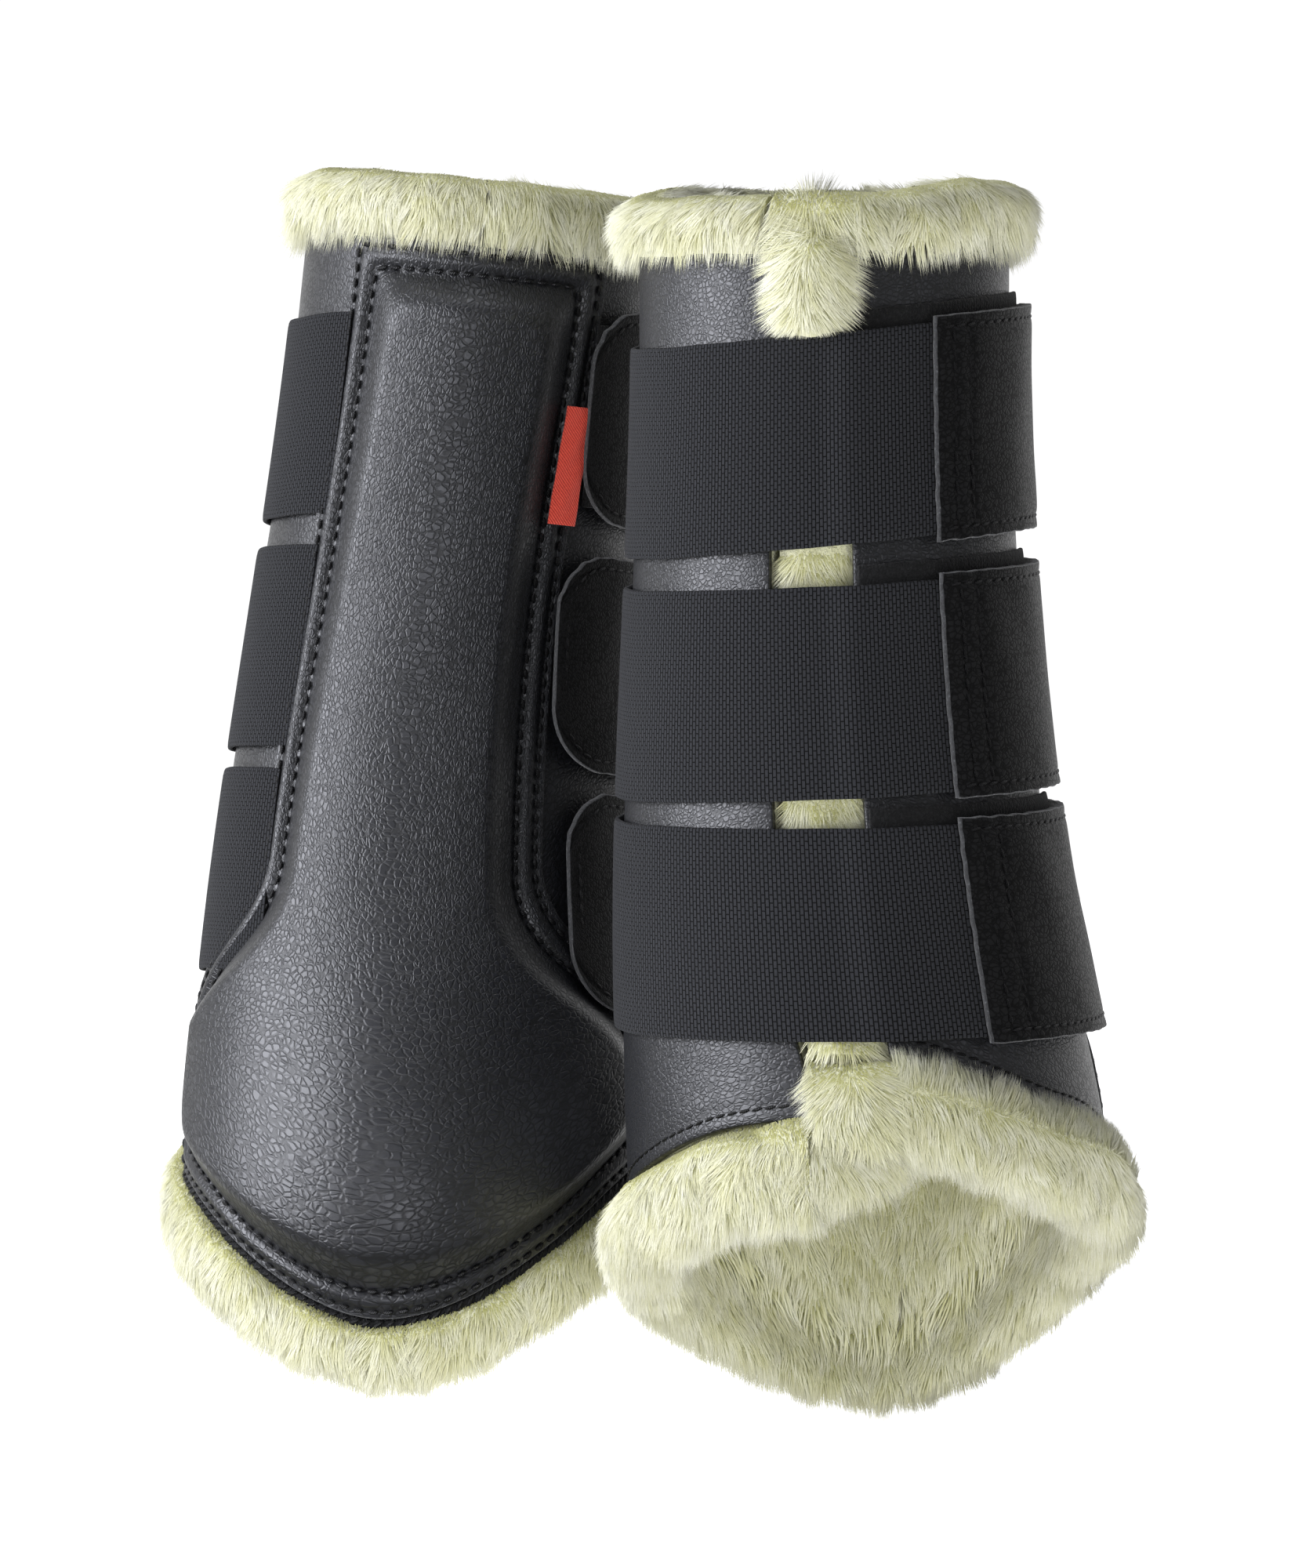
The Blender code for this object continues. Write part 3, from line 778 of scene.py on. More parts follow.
def build_binding(boot):
    """Brushed binding sewn round the pad's lower edge."""
    reach = HINGE_ANGLE - 0.5
    length = math.radians(2.0 * reach) * ROUND
    width = 5.0
    piece = flat_piece(boot.name + "_pad_binding_roll", (length, width), (160, 6), 3.2, 0.8)
    local = {}

    def lay(x, y, h):
        angle = np.degrees(x / ROUND) - reach
        swell = 0.125 * np.sin(x * 2.1)
        local["angle"], local["z"], local["h"] = angle, hem(angle) - width + y, h
        local["offset"] = h - 2.2 + swell + 0.5 * np.sin(math.pi * y / width)
        return angle, local["z"], local["offset"]
    lay_round(piece, boot, lay)
    dress(piece, "binding", BINDING)
    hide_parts(boot.body("pad_binding"))

    def brushed(mean):
        return 0.5 * (mean["h"] > 1.6)

    def lie(angle, z, offset, inside, side):
        return np.stack([0.0 * z, -1.0 + 0.0 * z, 0.3 + 0.0 * z], axis=1)
    build_pile(boot, piece, local, brushed, lie, 61, (boot.body("core"),), 1.0, 0.4, ("binding", BINDING_PILE))
    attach(piece, boot.body("core"))

    angle = np.linspace(-reach + 2.0, reach - 2.0, 400)
    row = angle, hem(angle) - 0.9, np.full(400, 1.25)
    seam = sew(boot.name + "_binding_stitches", boot, [row], (1.25, 0.62, 0.5), 2.9, 0.1, 0.7)
    dress(seam, "binding", THREAD)
    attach(seam, boot.body("core"))


def build_label(boot):
    """Plain folded tape sewn under the pad's far edge."""
    width, height = 8.0, 29.0
    piece = flat_piece(boot.name + "_side_tape", (width, height), (14, 30), 0.7, 0.2)

    def lay(x, y, h):
        z = 205.0 + y
        angle = pad_outline(z, -1.0) + np.degrees(x / ROUND) - 0.4
        bow = 0.35 * np.sin(math.pi * x / width) + 0.12 * np.sin(y * 0.5 + x)
        return angle, z, 2.9 + h + bow
    lay_round(piece, boot, lay)
    dress(piece, "label", LABEL)
    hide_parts(boot.body("label"))
    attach(piece, boot.body("core"))


# ---------------------------------------------------------------- straps


def elastic_base(angle, z):
    """Offset of an elastic's inner face, which climbs over the loop tape past the closure."""
    return 0.55 + 1.5 * smooth((angle - 187.0) / 9.5)


def build_band(boot, name, strap, span, base, thickness, rise=0.0, width=STRAP_WIDTH, wave=0.1, ends=True):
    """Length of webbing or tape along a strap, between two angles, a rise above the strap's lower edge."""
    start, end = span
    length = math.radians(end - start) * ROUND
    columns = max(int(length / 1.6), 8)
    piece = flat_piece(boot.name + "_" + name + "_" + strap, (length, width), (columns, 30), thickness, 0.45, ends)

    def lay(x, y, h):
        angle = start + np.degrees(x / ROUND)
        z = strap_low(strap, angle) + rise + y
        sway = wave * ripple(angle, z * 0.0, 21 + len(strap), 30.0)
        offset = base(angle, z) + h * (1.0 - 0.12 * np.exp(-(np.minimum(y, width - y) / 1.2) ** 2))
        return angle, z + sway, offset
    flat = lay_round(piece, boot, lay)
    write_cut(piece.data, flat + np.array([math.radians(start) * ROUND, 0.0, 0.0]))
    return piece


def build_elastic(boot, strap):
    """Elastic of one strap in three lengths that meet edge to edge."""
    low = strap_low(strap, 60.0)
    start = float(pad_outline(np.array([low, low + STRAP_WIDTH]), 1.0).min()) - 3.0
    middle, far, end = 122.0, 190.0, SEAM_ANGLE + 3.0
    strap_body = boot.body("strap_" + strap)

    def webbing(name, span):
        piece = build_band(boot, name, strap, span, elastic_base, ELASTIC_THICK, wave=0.25, ends=False)
        return dress(piece, "elastic", ELASTIC)
    root = webbing("elastic_root_web", (start, middle))
    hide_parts(boot.body("elastic_root_" + strap), boot.body("elastic_side_" + strap))
    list(boot.flap(1.0))
    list(boot.flap_bend(1.0))
    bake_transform(root)

    fold = webbing("elastic_fold_web", (middle, far))
    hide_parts(boot.body("elastic_front_" + strap))
    boot.body("near_flap")
    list(boot.fold_bend(strap))
    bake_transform(fold)

    front = webbing("elastic_front_web", (far, end))
    boot.body("tab_" + strap)
    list(boot.peel_bend(strap))
    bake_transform(front)


def build_loop(boot, strap):
    """Loop tape sewn on the far flap under a strap."""
    piece = build_band(boot, "loop_tape", strap, (198.0, 274.5), lambda angle, z: 0.2, 1.3, 4.6)
    dress(piece, "loop", LOOP)
    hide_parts(boot.body("loop_" + strap))
    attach(piece, boot.body("far_flap"))


def over_pad(angle, z):
    """How far a tab rides up where it lies over the pad's border."""
    return np.where(pad_depth(angle - 360.0, z) > 0.05, np.maximum(pad_height(angle - 360.0, z) - 3.0, 0.0), 0.0)


def build_hook(boot, strap):
    """Hook tape sewn under a tab."""
    end = min(HOOK_ENDS[strap], TAB_ENDS[strap] + (7.0 if boot.side > 0.0 else -2.0))

    def base(angle, z):
        return 2.2 + over_pad(angle, z) + 2.6 * smooth((angle - TAB_ENDS[strap] + 1.0) / 6.0)
    piece = build_band(boot, "hook_tape", strap, (SEAM_ANGLE + 4.0, end), base, 1.1, 2.5, STRAP_WIDTH - 5.0)
    dress(piece, "hook", HOOK)
    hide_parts(boot.body("hook_" + strap))
    boot.body("strap_" + strap)
    boot.body("tab_" + strap)
    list(boot.peel_bend(strap))
    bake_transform(piece)


def tab_base(angle, z):
    """Offset of a tab's inner face."""
    return 3.35 + over_pad(angle, z)


def tab_length(strap):
    """Length of a tab from its seam."""
    return math.radians(TAB_ENDS[strap] - SEAM_ANGLE) * ROUND


def tab_cut(strap, x, y, inset=0.0):
    """Angle and height of a point of a tab cut, x along it and y across from 0 to 1, drawn in by an inset."""
    length = tab_length(strap)
    past = np.maximum(x - (length - TAB_CORNER), 0.0)
    radius = TAB_CORNER - inset
    cut = TAB_CORNER - np.sqrt(np.maximum(radius ** 2 - past ** 2, 0.0))
    cut = np.where(past > 0.0, cut, inset)
    angle = SEAM_ANGLE + np.degrees(x / ROUND)
    return angle, strap_low(strap, angle) - 1.5 + cut + (TAB_WIDTH - 2.0 * cut) * y


def build_tab(boot, strap):
    """Leather end of a strap: rounded corners, raw edges and a sewn row inside them."""
    length = tab_length(strap)
    piece = flat_piece(boot.name + "_leather_tab_" + strap, (length, TAB_WIDTH), (110, 56), TAB_THICK, 0.3)

    def lay(x, y, h):
        share = np.clip(x / length, 0.0, 1.0)
        bunched = length * (1.0 - (1.0 - share) ** 1.25)
        angle, z = tab_cut(strap, bunched, np.clip(y / TAB_WIDTH, 0.0, 1.0))
        edge = np.minimum(y, TAB_WIDTH - y)
        rim = np.minimum(edge, bunched)
        dip = 0.35 * np.exp(-((edge - TAB_SEAM) / 0.8) ** 2)
        seam = 0.3 * sum(np.exp(-((bunched - row) / 0.8) ** 2) for row in TAB_ROWS)
        curl = 0.25 * ripple(angle, z, 5 + len(strap), 26.0) * smooth(rim / 6.0)
        fray = 0.28 * ripple(angle * 5.0, z * 5.0, 9, 22.0) * (1.0 - smooth(rim / 1.5))
        return angle + fray, z + fray, tab_base(angle, z) + h - (dip + seam - curl) * (h > 0.8)
    flat = lay_round(piece, boot, lay)
    dress(piece, "tab_leather", TAB_LEATHER, EDGE)
    edge_finish(piece, flat, TAB_THICK)
    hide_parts(boot.body("tab_" + strap))
    bend = boot.body("strap_" + strap), boot.body("tab_" + strap)
    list(boot.peel_bend(strap))
    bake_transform(piece)

    straight = np.linspace(2.5, length - TAB_CORNER, 120)
    curve = length - TAB_CORNER + (TAB_CORNER - TAB_SEAM) * np.sin(np.linspace(0.0, math.pi / 2.0, 40))
    run = np.concatenate([straight, curve])
    low = tab_cut(strap, run, np.zeros_like(run), TAB_SEAM)
    top = tab_cut(strap, run[::-1], np.ones_like(run), TAB_SEAM)
    angle, z = np.concatenate([low[0], top[0]]), np.concatenate([low[1], top[1]])
    rows = [(angle, z, tab_base(angle, z) + 1.25)]
    for along in TAB_ROWS:
        angle, z = tab_cut(strap, np.full(60, along), np.linspace(0.07, 0.93, 60))
        rows.append((angle, z, tab_base(angle, z) + 1.3))
    seam = sew(boot.name + "_tab_stitches_" + strap, boot, rows, (1.3, 0.4, 0.32), 3.3)
    dress(seam, "tab_leather", THREAD)
    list(boot.peel_bend(strap))
    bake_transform(seam)


# ---------------------------------------------------------------- fleece

ROLL_STEPS = 14
WALL_STEPS = 44
ROLL_TURN = 84.0  # a roll's section runs from this angle below its middle to this angle above it
ROLL_TOP = 16.8  # how far the collar's roll stands over the leather
ROLL_HALF = 10.5  # half depth of a roll
COLLAR_MIDDLE = -3.5  # offsets of the rolls' middles
HEM_ROLL_MIDDLE = -2.5
LINING_BACK = -3.4  # offset of the lining's back, against the leather
DROOP_NEAR = 6.0
DROOP_FAR = 5.5
SAG = 0.68  # share of the droop that the collar's ground follows
CUSHION = 8.0  # swelling of the lining's inside above the hem
PILE_DEPTH = 2.3  # how far the pile stands over its ground
PER_SQUARE = 3.7  # tufts per square millimetre of full pile
TUFT_LENGTH = (3.8, 6.6)
TUFT_STAND = (0.12, 0.42)  # how steeply tufts rise from their ground
TUFT_RADIUS = 0.17
DEEP_RADIUS = 0.4  # tufts are fewer and stouter deep inside
LOCK = 26  # tufts to a lock
MOST_TRIANGLES = 190000


def droop(angle):
    """How far the collar sags below its full height, towards the closure."""
    near = DROOP_NEAR * smooth((angle - 60.0) / 60.0)
    far = DROOP_FAR * smooth((-angle - 115.0) / 40.0)
    return np.where(angle > 0.0, near, far)


def roll_round(share):
    """Depth and height, from -1 to 1, of a roll's section at a share of its way from bottom to top."""
    turn = -ROLL_TURN + 2.0 * ROLL_TURN * np.clip(share, 0.0, 1.0)
    c = np.abs(np.cos(np.radians(turn))) ** 0.75
    return c, np.sign(turn) * np.abs(np.sin(np.radians(turn))) ** 0.75


def lining_section(angle, row, bulge):
    """Height, outer and inner offset at a row of the lining: hem roll, wall, top roll."""
    low = hem(angle)
    deep_in = LINING_IN + PILE_DEPTH
    height = 14.5 + 8.0 * smooth(np.abs(angle - HEM_MIDDLE) / 60.0)
    c, s = roll_round(row / ROLL_STEPS)
    hem_z = low - 0.5 - 0.5 * height + (0.5 * height - 0.5 * PILE_DEPTH) * s
    hem_out = HEM_ROLL_MIDDLE + (ROLL_HALF - PILE_DEPTH) * c
    hem_in = np.where(s < 0.0, HEM_ROLL_MIDDLE - (ROLL_HALF - PILE_DEPTH) * c, deep_in)

    wall_z = low + (SHELL_TOP - low) * np.clip((row - ROLL_STEPS - 1) / WALL_STEPS, 0.0, 1.0)
    wall_out = bulge(angle, wall_z)
    over = wall_z - low
    cushion = CUSHION * smooth((over - 3.0) / 7.0) * (1.0 - smooth((over - 22.0) / 40.0))
    wall_in = deep_in - cushion * (1.0 - smooth((np.abs(angle) - 110.0) / 35.0))

    c, s = roll_round((row - ROLL_STEPS - WALL_STEPS - 2) / ROLL_STEPS)
    rise = (0.5 * ROLL_TOP - 0.7 * PILE_DEPTH) * (1.0 + s)
    top_z = SHELL_TOP + 0.5 + PILE_DEPTH * 0.4 + rise - SAG * droop(angle)
    top_out = COLLAR_MIDDLE + (ROLL_HALF - PILE_DEPTH) * c
    top_in = np.where(s > 0.0, COLLAR_MIDDLE - (ROLL_HALF - PILE_DEPTH) * c, deep_in)

    is_hem = row <= ROLL_STEPS
    is_wall = (row > ROLL_STEPS) & (row <= ROLL_STEPS + WALL_STEPS + 1)
    z = np.where(is_hem, hem_z, np.where(is_wall, wall_z, top_z))
    outer = np.where(is_hem, hem_out, np.where(is_wall, wall_out, top_out))
    inner = np.where(is_hem, hem_in, np.where(is_wall, wall_in, top_in))
    return z, outer, inner


def back_wall(angle, z):
    """Outer offset of the lining where it lies behind leather."""
    return np.full_like(z, LINING_BACK)


def front_wall(angle, z):
    """Outer offset of the far lining, which is rolled round the flap's front edge."""
    share = (FAR_EDGE - 0.5 - angle) / (FAR_EDGE - FRONT_EDGE)
    crown = np.sqrt(np.clip(1.0 - (2.0 * share - 1.0) ** 2, 0.0, 1.0))
    free = smooth((z - 250.0) / 9.0) * 6.0 + smooth((92.0 - z) / 10.0) * 4.0
    return np.where(angle < FAR_EDGE - 0.4, LINING_BACK + (1.4 + free) * crown, LINING_BACK)


def build_fleece(boot, side):
    """Fleece of one half: a padded ground with its pile of combed tufts."""
    end = NEAR_EDGE if side > 0.0 else FRONT_EDGE
    name = boot.name + ("_near_fleece" if side > 0.0 else "_far_fleece")
    bulge = back_wall if side > 0.0 else front_wall
    columns = 110
    rows = 2 * ROLL_STEPS + WALL_STEPS + 2
    piece = flat_piece(name, (columns, rows), (columns, rows), 1.0, 0.0)
    local = {}

    def lay(x, y, h):
        share = x / columns if side > 0.0 else 1.0 - x / columns
        angle = end * share
        z, outer, inner = lining_section(angle, np.rint(y), bulge)
        lump = 0.9 * ripple(angle, z, 31, 24.0) + 0.5 * ripple(angle, z, 32, 11.0)
        offset = np.where(h > 0.5, outer + lump * (outer > -3.0), inner - np.abs(lump))
        z = z + 0.8 * ripple(angle, z * 0.2, 33, 28.0) * ((y < ROLL_STEPS) | (y > rows - ROLL_STEPS))
        local["angle"], local["z"], local["offset"], local["h"] = follow_edge(angle, z), z, offset, h
        return local["angle"], z, offset
    lay_round(piece, boot, lay)
    dress(piece, "fleece", GROUND)
    nodes = ("lining_near",) if side > 0.0 else ("lining_far", "lining_back")
    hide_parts(*[boot.body(n) for n in nodes])
    build_pile(boot, piece, local, lining_density, comb, 101 if side > 0.0 else 202, boot.flap(side), side)
    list(boot.flap(side))
    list(boot.flap_bend(side))
    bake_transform(piece)


def comb(angle, z, offset, inside, side):
    """Lie of the pile as steps in angle, height and offset, in millimetres."""
    low = hem(angle)
    top = z > SHELL_TOP
    crest = smooth((z + droop(angle) - SHELL_TOP - 8.0) / 8.0)
    roll = (z < low) & ~inside
    way = np.zeros((len(angle), 3))
    way[:, 1] = np.where(top & inside, 0.8 * crest - 1.0, -1.0)
    way[:, 2] = np.where(top, np.where(inside, -0.8 * crest, 0.9 * crest + 0.05), 0.0)
    way[:, 2] = np.where(roll, 0.35 * smooth((z - low + 14.0) / 12.0), way[:, 2])
    if side < 0.0:
        up = roll & (z > low - 8.5) & (angle < -70.0)
        way[:, 1] = np.where(up, 1.0, way[:, 1])
        way[:, 2] = np.where(up, 0.1, way[:, 2])
        front = (angle < FAR_EDGE) & ~inside
        sideways = (angle - 0.5 * (FAR_EDGE + FRONT_EDGE)) / 11.5
        way[:, 0] = np.where(front, 0.9 * sideways, way[:, 0])
        way[:, 1] = np.where(front, -1.0, way[:, 1])
        way[:, 2] = np.where(front, -0.25 * (z < 250.0) * (z > 84.0), way[:, 2])
    return way


def under_strap(z):
    """Whether a height at the closure lies under a strap."""
    hidden = np.zeros(np.shape(z), bool)
    for name in STRAPS:
        low = strap_low(name, 180.0)
        hidden |= (z > low - 0.5) & (z < low + STRAP_WIDTH + 0.5)
    return hidden


def lining_density(mean):
    """Share of full pile at each facet of a lining: none behind leather or under straps, thin deep inside."""
    inside = mean["h"] < 0.5
    low = hem(mean["angle"])
    rolled = (mean["z"] > SHELL_TOP - 0.5) | (mean["z"] < low + 0.5)
    front = (mean["angle"] < FAR_EDGE - 0.5) & ~inside & ~under_strap(mean["z"])
    density = np.where(rolled | front, 1.0, 0.0)
    rim = smooth((mean["z"] - 245.0) / 15.0) * 0.5 + smooth((low + 62.0 - mean["z"]) / 30.0)
    density = np.where(inside & ~rolled, 0.05 + 0.65 * np.clip(rim, 0.0, 1.0), density)
    crease = inside & (np.abs(mean["z"] - low - 1.0) < 3.0)
    return np.where(crease, 0.2, density)


def build_pile(boot, ground, local, density_of, comb_of, seed, bodies, side, reach=1.0, finish=("fleece", PILE)):
    """Pile of combed tufts over a ground piece.

    local holds the places of its vertices in the boot's own frame, density_of gives the share of full pile on
    each facet, and comb_of the way that tufts lie. The pile rides on one body, or stays where it is built when it
    lies between two.
    """
    mesh = ground.data
    mesh.calc_loop_triangles()
    corner = np.empty(len(mesh.loop_triangles) * 3, np.int32)
    mesh.loop_triangles.foreach_get("vertices", corner)
    corner = corner.reshape(-1, 3)
    points = read_points(mesh)
    a, b, c = (points[corner[:, i]] for i in range(3))
    facing = np.cross(b - a, c - a)
    area = 0.5 * np.linalg.norm(facing, axis=1) / MM ** 2
    density = density_of({key: value[corner].mean(axis=1) for key, value in local.items()})
    weight = area * density
    count = int(weight.sum() * PER_SQUARE)
    random = np.random.default_rng(seed)
    chosen = random.choice(len(weight), count, p=weight / weight.sum())
    mix = random.dirichlet((1.0, 1.0, 1.0), count)
    corners = corner[chosen]
    angle, z, offset, height = (np.einsum("ij,ij->i", local[key][corners], mix)
                                for key in ("angle", "z", "offset", "h"))
    root = np.einsum("ijk,ij->ik", points[corners], mix)
    normal = facing[chosen] / np.linalg.norm(facing[chosen], axis=1, keepdims=True)
    lie = comb_of(angle, z, offset, height < 0.5, side)
    swirl = np.stack([ripple(angle, z, seed + i, 15.0) for i in range(3)], axis=1)
    lie = lie + 0.75 * swirl * np.array([1.0, 0.35, 0.2]) + random.normal(0.0, 0.13, lie.shape)
    step = 0.5  # millimetres
    aside, rise, out = step * lie.T
    ahead = boot.point(angle + np.degrees(aside / ROUND), z + rise, offset + out)
    way = ahead - boot.point(angle, z, offset)
    way = way / np.linalg.norm(way, axis=1, keepdims=True)
    thin = density[chosen] < 0.3
    stand = random.uniform(*TUFT_STAND, (count, 1))
    length = random.uniform(*TUFT_LENGTH, count) * np.where(thin, 1.5, 1.0)
    length = np.where((lie[:, 1] > 0.3) & (z < 100.0), 0.65, 1.0) * length * reach
    length = np.minimum(length, clearance(angle, z, lie[:, 1]))
    radius = np.where(thin, DEEP_RADIUS, TUFT_RADIUS) * random.uniform(0.7, 1.3, count)
    tip = root + (way + normal * stand) * length[:, None] * MM
    tip, tint = gather(root, tip, random)
    name = ground.name + "_pile"
    parts = (count * 3 - 1) // MOST_TRIANGLES + 1
    for part, rows in enumerate(np.array_split(np.argsort(z), parts)):
        shape = root[rows], tip[rows], normal[rows]
        piece = tufts(name + ("_" + str(part) if parts > 1 else ""), shape, radius[rows], tint[rows])
        dress(piece, *finish)
        if len(bodies) > 1:
            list(boot.flap_bend(side))
            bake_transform(piece)
        else:
            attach(piece, *bodies)
        soften(piece.data, normal[rows])


def clearance(angle, z, rise):
    """Longest tuft that doesn't hang over the strap below it, or reach the strap above it, at the closure."""
    turn = np.where(angle < 0.0, angle + 360.0, angle)
    room = np.full(np.shape(z), 99.0)
    for name in STRAPS:
        low = strap_low(name, turn)
        high = low + STRAP_WIDTH
        room = np.where((rise < 0.0) & (z > high - 1.0), np.minimum(room, z - high + 0.8), room)
        room = np.where((rise > 0.0) & (z < low + 1.0), np.minimum(room, low - z + 1.2), room)
    return np.where(turn > 100.0, np.maximum(room, 1.0), 99.0)


def gather(root, tip, random):
    """Draw the tips of neighbouring tufts together into locks, each with its own shade."""
    count = len(root)
    seeds = random.choice(count, max(count // LOCK, 1), replace=False)
    tree = KDTree(len(seeds))
    for i, seed in enumerate(seeds):
        tree.insert(root[seed], i)
    tree.balance()
    lock = seeds[[tree.find(place)[1] for place in root]]
    share = random.uniform(0.05, 0.5, (count, 1))
    target = tip[lock] + (root - root[lock]) * 0.3
    shade = random.uniform(0.0, 1.0, count)
    return tip * (1.0 - share) + target * share, 0.55 * shade[lock] + 0.45 * shade


def tufts(name, shape, radius, tint):
    """Tapered three-sided tufts as one mesh, open where they are rooted in their ground."""
    root, tip, normal = shape
    count = len(root)
    first = tip - root
    first = first / np.maximum(np.linalg.norm(first, axis=1, keepdims=True), 1e-9)
    x = np.cross(first, normal)
    x = x / np.maximum(np.linalg.norm(x, axis=1, keepdims=True), 1e-9)
    y = np.cross(first, x)
    radius = radius[:, None] * MM
    points = np.empty((count, 4, 3))
    for i, turn in enumerate((0.0, 2.0 * math.pi / 3.0, 4.0 * math.pi / 3.0)):
        arm = x * math.cos(turn) * radius + y * math.sin(turn) * radius * 0.6
        points[:, i] = root - first * 0.6 * MM + arm
    points[:, 3] = tip
    faces = np.array([0, 1, 3, 1, 2, 3, 2, 0, 3])
    corners = (np.arange(count)[:, None] * 4 + faces).ravel()
    starts = np.arange(count * 3) * 3
    mesh = bpy.data.meshes.new(name)
    mesh.vertices.add(count * 4)
    mesh.loops.add(len(corners))
    mesh.polygons.add(len(starts))
    mesh.vertices.foreach_set("co", points.astype(np.float32).ravel())
    mesh.loops.foreach_set("vertex_index", corners.astype(np.int32))
    mesh.polygons.foreach_set("loop_start", starts.astype(np.int32))
    mesh.polygons.foreach_set("use_smooth", np.ones(len(starts), bool))
    mesh.update(calc_edges=True)
    along = np.tile(np.array([0.0, 0.0, 0.0, 1.0], np.float32), count)
    mesh.attributes.new("along", "FLOAT", "POINT").data.foreach_set("value", along)
    mesh.attributes.new("tint", "FLOAT", "POINT").data.foreach_set("value", np.repeat(tint, 4).astype(np.float32))
    return new_piece(name, mesh)


def soften(mesh, normal):
    """Shade tufts mostly like the ground that they stand on, as fine pile scatters its light."""
    own = np.empty(len(mesh.vertices) * 3, np.float32)
    mesh.vertices.foreach_get("normal", own)
    soft = own.reshape(-1, 3) * 0.35 + np.repeat(normal, 4, axis=0)
    soft = soft / np.linalg.norm(soft, axis=1, keepdims=True)
    mesh.normals_split_custom_set_from_vertices(soft.astype(np.float32))


def sausage(boot, name, path, reach):
    """Closed roll along a path: path(t) gives its middle, reach(t) its half height and half depth."""
    points, faces = ball(36, 30)
    mesh = bpy.data.meshes.new(name)
    mesh.from_pydata(points.tolist(), [], faces)
    piece = new_piece(name, mesh)
    local = {}

    def lay(x, y, h):
        t = 0.5 + 0.5 * h
        angle, z, offset = path(t)
        wide, deep = reach(t)
        local["angle"], local["z"] = wide[0] * x + angle, z + wide[1] * x
        deep = deep if wide[0] else -deep
        local["offset"], local["h"] = offset - deep * y, np.ones_like(t)
        lump = 0.6 * ripple(local["angle"], local["z"], 51, 12.0)
        return local["angle"], local["z"], local["offset"] + lump
    lay_round(piece, boot, lay)
    dress(piece, "fleece", GROUND)
    return piece, local


def build_tail(boot):
    """End of the near flap's rolled fleece, which runs on under the far flap's fleece at the closure."""
    def path(t):
        angle = 154.0 + 54.0 * t
        return angle, 54.5 + 8.0 * t, -1.0 - 12.0 * smooth((t - 0.35) / 0.65)

    def reach(t):
        return (0.0, 12.0 - 4.5 * t), 7.0 - 1.5 * t
    piece, local = sausage(boot, boot.name + "_near_fleece_end", path, reach)

    def lie(angle, z, offset, inside, side):
        return np.stack([0.25 + 0.0 * z, -1.0 + 0.0 * z, 0.1 + 0.0 * z], axis=1)
    build_pile(boot, piece, local, lambda mean: np.ones_like(mean["z"]), lie, 71, (boot.body("near_flap"),), 1.0)
    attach(piece, boot.body("near_flap"))


WHORL_ANGLE = -175.0


def build_whorl(boot):
    """Thick tuft where the far flap's fleece turns over the collar at the closure."""
    def path(t):
        return WHORL_ANGLE + 0.0 * t, 247.5 + 33.5 * t, -1.0 - 3.5 * smooth((t - 0.6) / 0.4)

    def reach(t):
        return (11.5, 0.0), 6.5 + 2.5 * t
    piece, local = sausage(boot, boot.name + "_collar_whorl", path, reach)

    def lie(angle, z, offset, inside, side):
        up = np.clip((z - 273.0) / 9.0, -1.0, 0.35)
        return np.stack([(angle - WHORL_ANGLE) / 8.0, up, 0.05 + 0.0 * z], axis=1)

    def in_sight(mean):
        return 1.0 - under_strap(mean["z"] - 0.8)
    build_pile(boot, piece, local, in_sight, lie, 81, (boot.body("far_flap"),), -1.0)
    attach(piece, boot.body("far_flap"))


# ---------------------------------------------------------------- boots, stage, camera


def build_boot(name):
    """All the visible pieces of one boot."""
    boot = Boot(name)
    for side in (1.0, -1.0):
        build_shell(boot, side)
        build_fleece(boot, side)
    build_tail(boot)
    build_whorl(boot)
    build_pad(boot)
    build_binding(boot)
    build_label(boot)
    for strap in STRAPS:
        build_elastic(boot, strap)
        build_loop(boot, strap)
        build_tab(boot, strap)
        build_hook(boot, strap)
    for node, finish in (("pad_plate", PLATE), ("pad_foam", FOAM)):
        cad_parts[boot.body(node)].data.materials.clear()
        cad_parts[boot.body(node)].data.materials.append(finish)


# in metres and watts
FLOOR_GAP = 0.006
LAMPS = (
    ("key", (-1.75, -0.6, 0.5), 1.6, 56.0),
    ("front", (-0.5, -2.5, -0.02), 0.9, 9.0),
    ("fill", (1.9, -1.3, 0.35), 1.4, 2.0),
    ("above", (-0.1, 0.1, 1.7), 1.2, 10.0),
)
CAMERA_PLACE = (-0.041, -2.6, 0.030)
CAMERA_AIM = (-0.041, 0.0, 0.002)
LENS = 252.45


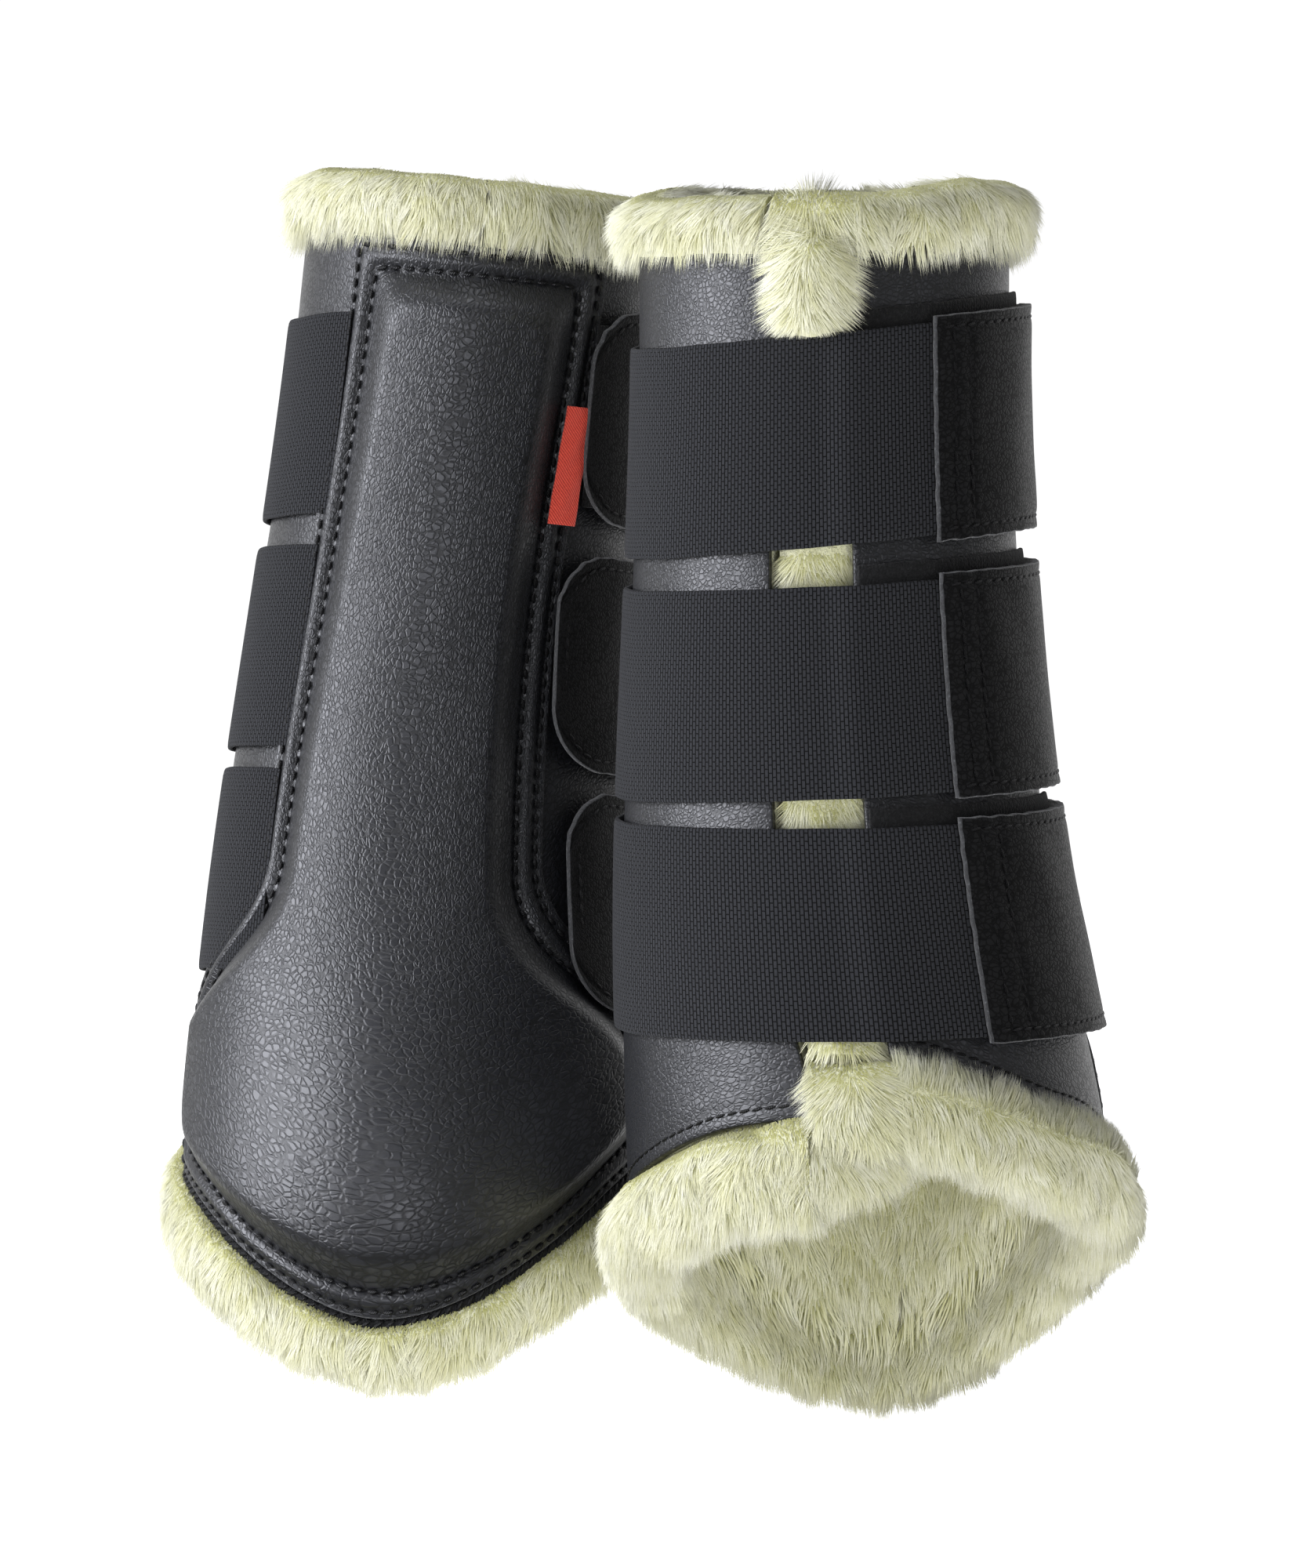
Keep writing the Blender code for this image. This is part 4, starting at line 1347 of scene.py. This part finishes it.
def light(name, place, target, size, power, colour="#f4f6ff"):
    """Soft square lamp aimed at a point."""
    lamp = bpy.data.lights.new(name, "AREA")
    lamp.shape = "SQUARE"
    lamp.size = size
    lamp.energy = power
    lamp.color = linear(colour)[:3]
    item = bpy.data.objects.new(name, lamp)
    bpy.context.scene.collection.objects.link(item)
    item.location = place
    item.rotation_euler = (Vector(target) - Vector(place)).to_track_quat("-Z", "Y").to_euler()


def build_stage():
    """Pale floor under the boots, bright enough to pass for lit paper, and out of their reflections."""
    bpy.ops.object.select_all(action="DESELECT")
    floor = float(cad_low.z) - FLOOR_GAP
    bpy.ops.mesh.primitive_plane_add(size=12.0, location=(0.0, 0.0, floor))
    ground = bpy.context.object
    ground.name = "floor"
    paper, _, shader = surface("matt_white_paper", 0.9, Base_Color=linear("#fbfbfb"), Emission_Strength=0.95)
    shader.inputs["Emission Color"].default_value = (1.0, 1.0, 1.0, 1.0)
    ground.data.materials.append(paper)
    ground.visible_glossy = False


def build_lights():
    """Large soft key from the left, weaker fill from the right, light from above and white surroundings."""
    for name, place, size, power in LAMPS:
        light(name, place, (-0.04, 0.05, 0.0), size, power)
    bpy.context.scene.view_settings.view_transform = "Standard"
    world = bpy.data.worlds.new("white_room")
    bpy.context.scene.world = world
    world.use_nodes = True
    tree = world.node_tree
    back = tree.nodes["Background"]
    way = add(tree, "ShaderNodeTexCoord").outputs["Generated"]
    depth = add(tree, "ShaderNodeSeparateXYZ", {"Vector": way}).outputs["Y"]
    limits = {"Value": depth, "From Min": 0.2, "From Max": 0.8, "To Min": 0.14, "To Max": 1.05}
    share = add(tree, "ShaderNodeMapRange", limits).outputs["Result"]
    tree.links.new(share, back.inputs["Strength"])
    back.inputs["Color"].default_value = (1.0, 1.0, 1.0, 1.0)


def build_camera():
    """Camera a little above the middle of the boots, far off with a long lens."""
    data = bpy.data.cameras.new("camera")
    camera = bpy.data.objects.new("camera", data)
    bpy.context.scene.collection.objects.link(camera)
    camera.location = CAMERA_PLACE
    camera.rotation_euler = (Vector(CAMERA_AIM) - Vector(CAMERA_PLACE)).to_track_quat("-Z", "Y").to_euler()
    data.sensor_width = 36.0
    data.lens = LENS
    bpy.context.scene.camera = camera


for boot_name in PLACING:
    build_boot(boot_name)
build_stage()
build_lights()
build_camera()
